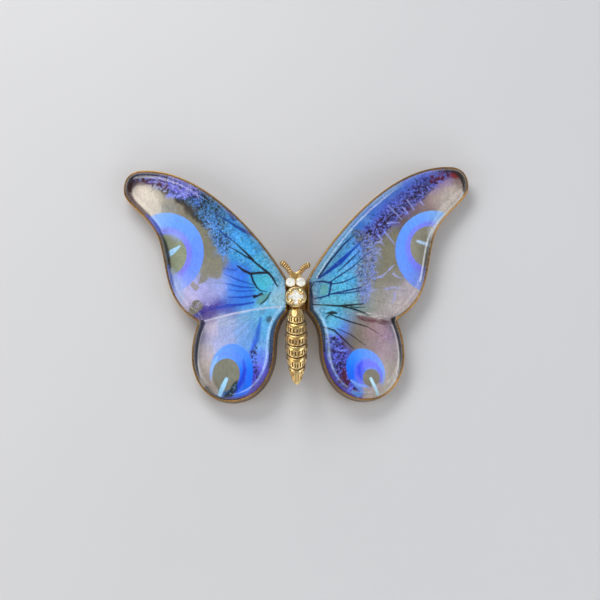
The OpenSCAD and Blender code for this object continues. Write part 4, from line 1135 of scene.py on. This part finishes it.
# A plate with softened edges: an outline whose corners are cut n times (Chaikin), between two heights
def slab(corners, soft, low, high, centre, cuts=3):
    ring = np.asarray(corners, float)
    for _ in range(cuts):
        ahead = np.roll(ring, -1, 0)
        ring = np.stack([0.75 * ring + 0.25 * ahead, 0.25 * ring + 0.75 * ahead], 1).reshape(-1, 2)
    ring = evenly(ring, 96)
    if (ring[:, 0] * np.roll(ring[:, 1], -1) - ring[:, 1] * np.roll(ring[:, 0], -1)).sum() < 0:
        ring = ring[::-1]
    middle = ring.mean(0)
    rings, heights = [], []
    for q in np.linspace(0, math.pi / 2, 5):
        rings.append(inset(ring[::-1], soft * (1 - math.sin(q)))[::-1])
        heights.append(low + soft * (1 - math.cos(q)))
    for q in np.linspace(0, math.pi / 2, 5):
        rings.append(inset(ring[::-1], soft * (1 - math.cos(q)))[::-1])
        heights.append(high - soft * (1 - math.sin(q)))
    for s in (0.7, 0.35):
        rings.append(middle + (rings[9] - middle) * s)
        heights.append(high + 0.02 * (1 - s))
    n, m = len(ring), len(rings)
    flat = np.vstack(rings)
    points = np.column_stack([flat, np.repeat(heights, n)])
    ends = np.array([[*middle, low], [*middle, high + 0.02]])
    faces = closedFaces(m, n)
    return (np.vstack([points, ends]) + centre) * mm, faces


# Places along the body, in mm, as the CAD has them
body = {
    "x": -0.25,
    "thoraxY": -3.75,
    "headY": -1.05,
    "eyeHalfGap": 0.885,
}

# Tail: half width from a cubic curve; each of its rings is a smooth lip, then a band of short ticks cut into
# it, then a groove that dips towards the tail in the middle
tail = {
    "rings": 6.6,
    "length": 13.3,
    "top": -5.7,           # y of its front end
    "axis": 6.0,
    "back": 0.8,           # it is flat that far below its axis
    "curve": [(0, 1.3), (0.28, 2.42), (0.8, 2.1), (1, 0.3)],
    "smile": 0.54,         # share of a ring by which the groove dips
    "ticks": 19,           # round the whole tail
    "lip": 0.06, "tick": 0.15, "groove": 0.2, "pit": 0.12,      # heights and depths in mm
    "least": 0.03,         # no thinner than this
    "along": 440, "round": 216,
}


# 1 in the middle of a share of the ring, easing to 0 at its ends
def hump(q, low, high):
    return np.where((q > low) & (q < high), np.sin(math.pi * np.clip((q - low) / (high - low), 0, 1)), 0.0)


# The tail's radius: half width + lip - ticks - groove - pits, each where its share of the ring says; the
# phase counts rings along the tail and runs late on top, which bows the grooves
def makeTail():
    t = np.linspace(0, 1, tail["along"])
    half = bezier(tail["curve"], np.linspace(0, 1, 400))
    half = np.interp(t, half[:, 0], half[:, 1]) * np.sqrt(np.clip((1 - t) / 0.035, 0, 1))
    a = np.arange(tail["round"]) * 2 * math.pi / tail["round"]      # 0 on top
    t, a = np.meshgrid(t, a, indexing="ij")
    bow = np.clip(np.cos(a), 0, 1) ** 1.6 * tail["smile"]
    phase = t * tail["rings"] - bow * np.clip(t * 9, 0, 1) + 0.1
    ringNo, p = np.floor(phase), phase % 1
    pair = np.stack([a.ravel() * 2, ringNo.ravel() * 3], 1)
    spread = latticeNoise(pair, 1.0, 33).reshape(a.shape)
    wave = np.cos(a * tail["ticks"] + ringNo * 1.7 + 2.2 * (spread - 0.5))
    cut = np.clip(-wave * 1.6 - 0.1, 0, 1)                          # 1 in the cut between two ticks
    last = ringNo >= 5
    band = np.where(last, hump(p, 0.2, 0.95) * 0.6, hump(p, 0.4, 0.86) ** 0.35)
    fade = np.clip((1 - t) * 9, 0, 1)
    groove = hump((p + 0.07) % 1, 0.0, 0.14) * np.where(ringNo >= 6, 0.3, 1.0)
    pits = np.clip(latticeNoise(np.stack([a.ravel() * 1.6, t.ravel() * 15], 1), 0.4,
                                34).reshape(a.shape) - 0.62, 0, 1) * 2
    r = half[:, None] + (tail["lip"] * (hump(p, 0.02, 0.42) - 0.6) - tail["tick"] * band * cut
                         - tail["groove"] * groove - tail["pit"] * pits) * fade
    r = np.maximum(r, tail["least"])
    # painted shade: the cuts between ticks, the grooves and the pits are darkened by this recess value
    recess = np.clip(band * cut * 1.05 + groove * 0.95 + pits, 0, 1) * fade
    x = body["x"] + r * np.sin(a)
    z = np.maximum(tail["axis"] + r * np.cos(a), tail["axis"] - tail["back"])
    y = tail["top"] - t * tail["length"]
    points = np.stack([x, y, z], -1).reshape(-1, 3) * mm
    tip = tail["top"] - tail["length"] - 0.03
    ends = np.array([[body["x"], tail["top"], tail["axis"]], [body["x"], tip, tail["axis"]]]) * mm
    faces = closedFaces(*x.shape)
    # the tongue that joins the tail to the thorax's post
    tongue = slab([(-0.7, -0.5), (0.7, -0.5), (0.7, 1.2), (-0.7, 1.2)], 0.12, -0.6, 0.4,
                  (body["x"], tail["top"], tail["axis"]))
    points, faces = joined([(np.vstack([points, ends]), [f[:, ::-1] for f in faces]), tongue])
    piece = makePiece("tail_ringed", points, faces, castGilt, slot="cast_gilt")
    setRecess(piece, recess.ravel())
    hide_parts("abdomen")


makeTail()
print("tail chased")

# Thorax: a bowl-shaped collet with a chased skirt, on a post, with four beads over the stone's edge
thorax = {
    "bowl": [(0.02, 6.7), (1.12, 6.7), (1.2, 6.71), (1.42, 6.78), (1.58, 6.88), (1.72, 7.02), (1.8, 7.18),
             (1.85, 7.35), (1.86, 7.5), (1.84, 7.62), (1.87, 7.7), (1.86, 7.8), (1.8, 7.9), (1.74, 7.98),
             (1.66, 8.03), (1.56, 8.04), (1.46, 8.02), (1.4, 7.95), (1.37, 7.82), (1.34, 7.7), (1.2, 7.55),
             (0.9, 7.25), (0.5, 6.95), (0.02, 6.85)],
    "flutes": 14, "fluteDepth": 0.07,
    "post": [(0.02, 3.85), (0.8, 3.85), (0.85, 3.9), (0.85, 4.4), (0.8, 4.8), (0.8, 5.9), (0.86, 6.4),
             (1.0, 6.68), (1.0, 6.76), (0.02, 6.76)],
    "beadRadius": 0.56, "beadReach": 1.24, "beadSquash": 0.95, "beadZ": 7.98,
}


# Flutes in the skirt: the radius loses depth (1 + cos(flutes angle)) / 2 under a bell about height 7.25
def fluted(r, z, a):
    skirt = np.exp(-((z - 7.25) / 0.3) ** 2) * (r > 1.45)
    return r - thorax["fluteDepth"] * skirt * (0.5 + 0.5 * np.cos(thorax["flutes"] * a)), z


# The thorax: bowl and post in one cast piece, and four domed beads spaced evenly round it
def makeThorax():
    centre = (body["x"], body["thoraxY"], 0)
    piece = makePiece("thorax_bowl", *joined([turned(thorax["bowl"], 168, centre, fluted),
                                              turned(thorax["post"], 64, centre)]), castGilt,
                      slot="cast_gilt")
    place = np.empty(len(piece.data.vertices) * 3)
    piece.data.vertices.foreach_get("co", place)
    place = place.reshape(-1, 3) / mm - centre
    reach = np.hypot(place[:, 0], place[:, 1])
    valley = 0.5 + 0.5 * np.cos(thorax["flutes"] * np.arctan2(place[:, 1], place[:, 0]))
    # painted shade: darker inside the ring round the stone and in the skirt's flute valleys, a little over
    # the rest
    setRecess(piece, np.where(reach < 1.5, 0.5, np.where(place[:, 2] < 7.6, 0.3 + 0.6 * valley, 0.25)))
    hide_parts("thorax_collet")
    r, reach, squash = thorax["beadRadius"], thorax["beadReach"], thorax["beadSquash"]
    q = np.linspace(-0.35, math.pi / 2, 14)
    arch = [(r * math.cos(x), r * squash * math.sin(x)) for x in q[:-1]]
    arch = [(0.01, r * math.sin(q[0]))] + arch + [(0.02, r * squash)]
    beads = []
    for turn in np.radians([45, 135, 225, 315]):
        beads.append(turned(arch, 40, (body["x"] + reach * math.cos(turn),
                                       body["thoraxY"] + reach * math.sin(turn), thorax["beadZ"])))
    piece = makePiece("thorax_bead_prongs", *joined(beads), castGilt, slot="cast_gilt")
    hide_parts("thorax_beads")


# A cut stone: table, star, kite and girdle facets above, two rows of facets below; lengths as shares of its
# radius
stone = {
    "table": (0.56, 0.36), "bezel": (0.79, 0.22), "girdle": 0.06,
    "lower": (0.55, -0.42), "culet": (0.05, -0.78),
}


# Points ring by ring from the table to the culet; each kind of facet is one row for every eighth or sixteenth
# of the turn
def cutStone(centre, radius, turn):
    # A ring of n points at a share of the radius, turned by a share of one step
    def ringOf(n, share, height, shift):
        a = (np.arange(n) + shift) * 2 * math.pi / n + turn
        return np.stack([share * np.cos(a), share * np.sin(a), np.full(n, height)], 1)
    table = ringOf(8, *stone["table"], 0.0)
    bezelRing = ringOf(8, *stone["bezel"], 0.5)
    upper = ringOf(16, 1.0, stone["girdle"] / 2, 0.0)
    lower = ringOf(16, 1.0, -stone["girdle"] / 2, 0.0)
    deep = ringOf(8, *stone["lower"], 0.5)
    culet = ringOf(8, *stone["culet"], 0.0)
    points = np.vstack([table, bezelRing, upper, lower, deep, culet])
    k = np.arange(8)
    after = (k + 1) % 8
    top, star, upperAt, lowerAt, deepAt, point = 0, 8, 16, 32, 48, 56
    even, odd, then = 2 * k, 2 * k + 1, (2 * k + 2) % 16
    tri = np.vstack([
        np.stack([top + k, star + k, top + after], 1),
        np.stack([star + k, upperAt + even, upperAt + odd], 1),
        np.stack([star + k, upperAt + odd, upperAt + then], 1),
        np.stack([deepAt + k, lowerAt + odd, lowerAt + even], 1),
        np.stack([deepAt + k, lowerAt + then, lowerAt + odd], 1),
        np.stack([point + k, point + after, deepAt + k], 1)])
    g = np.arange(16)
    quads = np.vstack([
        np.stack([top + after, star + k, upperAt + then, star + after], 1),
        np.stack([lowerAt + g, lowerAt + (g + 1) % 16, upperAt + (g + 1) % 16, upperAt + g], 1),
        np.stack([point + after, deepAt + after, lowerAt + then, deepAt + k], 1)])
    faces = [tri, quads, (top + k)[None], (point + k[::-1])[None]]
    return (points * radius + centre) * mm, faces


# Foil-backed crystal: a bright body with a painted glow, and each cell of a blotchy noise at its own slight
# tone, a painted reflection that stands for the facets' sparkle
def stoneMaterial(name, look):
    n = Nodes(name)
    where = n.add("TexCoord").outputs["Object"]
    # painted reflection: cells of slightly darker tone stand for facets catching the light
    spark = n.add("TexVoronoi", {"feature": "F1"}, Vector=where, Scale=look["cells"]).outputs["Color"]
    level = n.ramp(n.add("SeparateColor", i0=spark), 0.0, 1.0, look["low"], 1.0)
    colour = n.add("CombineColor", i0=level, i1=level, i2=level)
    tone = n.mixColour(1.0, colour, colour4(*look["tone"]), "MULTIPLY")
    scratch = n.noise(where, 9000.0, 2.0)
    rough = n.ramp(scratch, 0.3, 0.7, 0.02, 0.08)
    bump = n.add("Bump", Strength=0.05, Distance=0.00002, Height=scratch)
    # painted glow: the emission below makes the stone shine though it is no lamp
    return n.finish(n.add("BsdfPrincipled", **{
        "Base Color": tone, "Roughness": rough, "IOR": 1.9,
        "Normal": bump, "Coat Weight": 1.0, "Coat Roughness": 0.02,
        "Emission Color": colour4(*look["tone"]), "Emission Strength": look["glint"]}))


whiteStone = stoneMaterial("whiteStone", {
    "cells": 2200.0, "low": 0.5, "tone": (255, 254, 246),
    "glint": 0.28})          # painted glow: the stone emits this light in place of what the foil behind it would throw back


# The three stones: name, centre, radius, turn and the CAD part that each one stands for
def makeStones():
    eye = body["eyeHalfGap"]
    for word, centre, radius, turn, node in (
            ("thorax", (body["x"], body["thoraxY"], 7.72), 1.36, 0.2, "thorax_stone"),
            ("left_eye", (body["x"] - eye, body["headY"], 7.68), 0.78, 0.1, "eye_stone_left"),
            ("right_eye", (body["x"] + eye, body["headY"], 7.68), 0.78, 0.5, "eye_stone_right")):
        points, faces = cutStone(centre, radius, turn)
        piece = makePiece("stone_" + word, points, faces, whiteStone, slot="white_stone", smooth=False)
        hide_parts(node)


# Head: a small plate on a stem with a web forward of it, and a collet for each eye; plate and web are plans
# with a softened edge between two heights, stem and collet are profiles of radius and height
head = {
    "plate": [(-1.6, -0.75), (1.6, -0.75), (1.75, 0.1), (1.2, 0.85), (0.5, 0.9), (-0.6, 0.9), (-1.2, 0.85),
              (-1.75, 0.1)],
    "plateEdge": 0.1, "plateZ": (6.6, 7.0),
    "web": [(-0.75, 0.3), (0.7, 0.3), (0.7, 1.1), (0.95, 1.8), (1.1, 2.3), (0.7, 2.4), (0.15, 1.9),
            (-0.25, 1.9), (-0.85, 2.6), (-1.2, 2.4), (-0.95, 1.6), (-0.75, 0.9)],
    "webEdge": 0.12, "webZ": (6.7, 7.12),
    "stem": [(0.02, 3.85), (0.58, 3.85), (0.6, 3.95), (0.6, 6.3), (0.66, 6.62), (0.02, 6.66)],
    "cup": [(0.02, 7.0), (0.74, 7.0), (0.8, 7.03), (0.85, 7.14), (0.88, 7.3), (0.865, 7.45), (0.88, 7.58),
            (0.88, 7.68), (0.865, 7.74), (0.84, 7.77), (0.81, 7.77), (0.795, 7.74), (0.79, 7.66), (0.7, 7.5),
            (0.4, 7.2), (0.02, 7.1)],
}


# The head in one cast piece, and its two collets as turned cups
def makeHead():
    x, y, half = body["x"], body["headY"], body["eyeHalfGap"]
    plate = slab(head["plate"], head["plateEdge"], *head["plateZ"], (x, y, 0))
    web = slab(head["web"], head["webEdge"], *head["webZ"], (x, y, 0))
    stem = turned(head["stem"], 48, (x, y, 0))
    piece = makePiece("head_plate", *joined([plate, web, stem]), castGilt, slot="cast_gilt")
    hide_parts("head")
    for word, s in (("left", -1), ("right", 1)):
        points, faces = turned(head["cup"], 96, (x + s * half, y, 0))
        piece = makePiece("eye_cup_" + word, points, faces, castGilt, slot="cast_gilt")
        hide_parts("eye_collet_" + word)


# Antennae: a rod on a plan curve whose radius grows to the tip and swells at each ridge
antennae = {
    "left": [(-0.85, -0.3), (-1.2, 1.3), (-1.8, 2.1), (-2.85, 2.85)],
    "right": [(0.2, -0.3), (0.6, 1.2), (1.1, 2.1), (2.35, 2.25)],
    "height": 6.95, "thin": 0.32, "thick": 0.49, "ridges": 9, "swell": 0.1,
    "along": 200, "round": 36,
}


# Each rod is a stack of circles square to its curve; radius = thin + (thick - thin) t^0.8 + swell times
# (2 ridge - 1), with ridge = |cos(ridges pi t)| away from the root, and the tip is rounded off
def makeAntenna(word):
    t = np.linspace(0, 1, antennae["along"])
    c = bezier(antennae[word], t)
    d = np.gradient(c, axis=0)
    across = np.stack([d[:, 1], -d[:, 0]], 1) / np.linalg.norm(d, axis=1)[:, None]
    clear = np.clip(t * 4 - 0.6, 0, 1)              # 0 at the root, 1 beyond it
    ridge = np.abs(np.cos(t * antennae["ridges"] * math.pi)) * clear
    r = antennae["thin"] + (antennae["thick"] - antennae["thin"]) * t ** 0.8
    r = (r + antennae["swell"] * (ridge * 2 - 1)) * np.sqrt(np.clip((1.0 - t) / 0.06, 0.02, 1))
    a = np.arange(antennae["round"]) * 2 * math.pi / antennae["round"]
    flat = c[:, None] + across[:, None] * (r[:, None] * np.cos(a))[..., None]
    z = antennae["height"] + r[:, None] * np.sin(a)
    points = np.concatenate([flat, z[..., None]], -1).reshape(-1, 3)
    ends = np.array([[*c[0], antennae["height"]], [*(c[-1] + d[-1]), antennae["height"]]])
    m, n = len(t), len(a)
    faces = closedFaces(m, n)
    piece = makePiece("antenna_" + word + "_rod", np.vstack([points, ends]) * mm, faces, rodGilt,
                      slot="cast_gilt", flip=True)
    # painted shade: darker in the valleys between the ridges, none at the root
    setRecess(piece, np.repeat(np.clip(1.25 - 1.7 * ridge, 0, 1) * clear, n))
    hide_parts("antenna_" + word)


makeThorax()
makeStones()
makeHead()
for word in ("left", "right"):
    makeAntenna(word)
print("thorax, stones, head and antennae made")

# The backs keep the CAD's shapes and take worn metal
backs = [
    (antiqueBrass, ["back_plate_left", "back_plate_right", "bridge_plate", "hinge_bracket", "hinge_rivet",
                    "catch_housing"]),
    (pinSteel, ["pin_stem", "catch_rotor"]),
]
for material, nodes in backs:
    for node in nodes:
        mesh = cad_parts[node].data
        mesh.materials.clear()
        mesh.materials.append(material)

# Studio: a pale floor, a soft pale surround and four soft lamps; positions and sizes in mm
studio = {
    "floorHalf": 700, "floorDrop": 0.02,
    "floorTone": (232, 232, 234), "surround": (0.92, 0.95, 1.0), "surroundPower": 0.31,
    "lamps": [
        # place, size, power in watts, tone
        ((-110, 220, 190), (200, 150), 0.5, (1.0, 0.99, 0.97)),
        ((240, -60, 120), (120, 170), 0.16, (0.96, 0.98, 1.0)),
        ((-240, -60, 120), (120, 170), 0.16, (1.0, 0.98, 0.95)),
        ((20, -240, 110), (220, 110), 0.16, (1.0, 0.98, 0.95)),
    ],
}


# Floor, surround, and lamps that each face the middle of the floor
def makeStudio():
    n = Nodes("paleFloor")
    where = n.add("TexCoord").outputs["Object"]
    cloud = n.noise(where, 12.0, 3.0)
    tone = n.mixColour(n.ramp(cloud, 0.3, 0.7), colour4(*studio["floorTone"]),
                       colour4(*[c - 3 for c in studio["floorTone"]]))
    fine = n.noise(where, 3000.0, 2.0)
    bump = n.add("Bump", Strength=0.05, Distance=0.00005, Height=fine)
    material = n.finish(n.add("BsdfPrincipled", **{"Base Color": tone, "Roughness": 0.8, "Normal": bump}))
    k = np.linspace(-studio["floorHalf"], studio["floorHalf"], 9)
    x, y = np.meshgrid(k, k)
    points = np.stack([x, y, np.full_like(x, -studio["floorDrop"])], -1).reshape(-1, 3) * mm
    mesh = bpy.data.meshes.new("floor")
    mesh.from_pydata(points.tolist(), [], gridFaces(9, 9).tolist())
    mesh.materials.append(material)
    floor = bpy.data.objects.new("floor", mesh)
    bpy.context.collection.objects.link(floor)

    world = bpy.data.worlds.new("surround")
    bpy.context.scene.world = world
    world.use_nodes = True
    back = world.node_tree.nodes["Background"]
    back.inputs["Color"].default_value = (*studio["surround"], 1.0)
    back.inputs["Strength"].default_value = studio["surroundPower"]

    for i, (place, size, power, tone) in enumerate(studio["lamps"]):
        lamp = bpy.data.lights.new(f"softbox{i}", "AREA")
        lamp.shape = "RECTANGLE"
        lamp.size, lamp.size_y = size[0] * mm, size[1] * mm
        lamp.energy = power
        lamp.color = tone
        holder = bpy.data.objects.new(f"softbox{i}", lamp)
        bpy.context.collection.objects.link(holder)
        holder.location = [c * mm for c in place]
        holder.rotation_euler = (-holder.location).to_track_quat("-Z", "Y").to_euler()


# Camera: aimed at a point above the middle from 450 mm, 75 degrees up, and rolled a little
camera = {
    "lens": 154.4, "distance": 450.0, "elevation": 75.0, "roll": -0.7,
    "aim": (0.0, -0.75, 4.0), "shift": (0.49, -2.45),
}


# The camera's axes: back from the elevation, right along X, up square to both, then right and up rolled
def makeCamera():
    el, ro = math.radians(camera["elevation"]), math.radians(camera["roll"])
    back = np.array([0, -math.cos(el), math.sin(el)])
    level = np.array([1.0, 0, 0])
    upright = np.cross(back, level)
    right = level * math.cos(ro) + upright * math.sin(ro)
    up = -level * math.sin(ro) + upright * math.cos(ro)
    aside, raised = camera["shift"]
    place = np.array(camera["aim"]) + back * camera["distance"] + right * aside + up * raised
    data = bpy.data.cameras.new("view")
    data.lens = camera["lens"]
    data.sensor_width = 36.0
    data.clip_start = 0.01
    holder = bpy.data.objects.new("view", data)
    bpy.context.collection.objects.link(holder)
    turn = np.eye(4)
    turn[:3] = np.column_stack([right, up, back, place * mm])
    holder.matrix_world = Matrix(turn.tolist())
    bpy.context.scene.camera = holder


makeStudio()
makeCamera()
bpy.context.scene.view_settings.view_transform = "Standard"
print("studio ready")
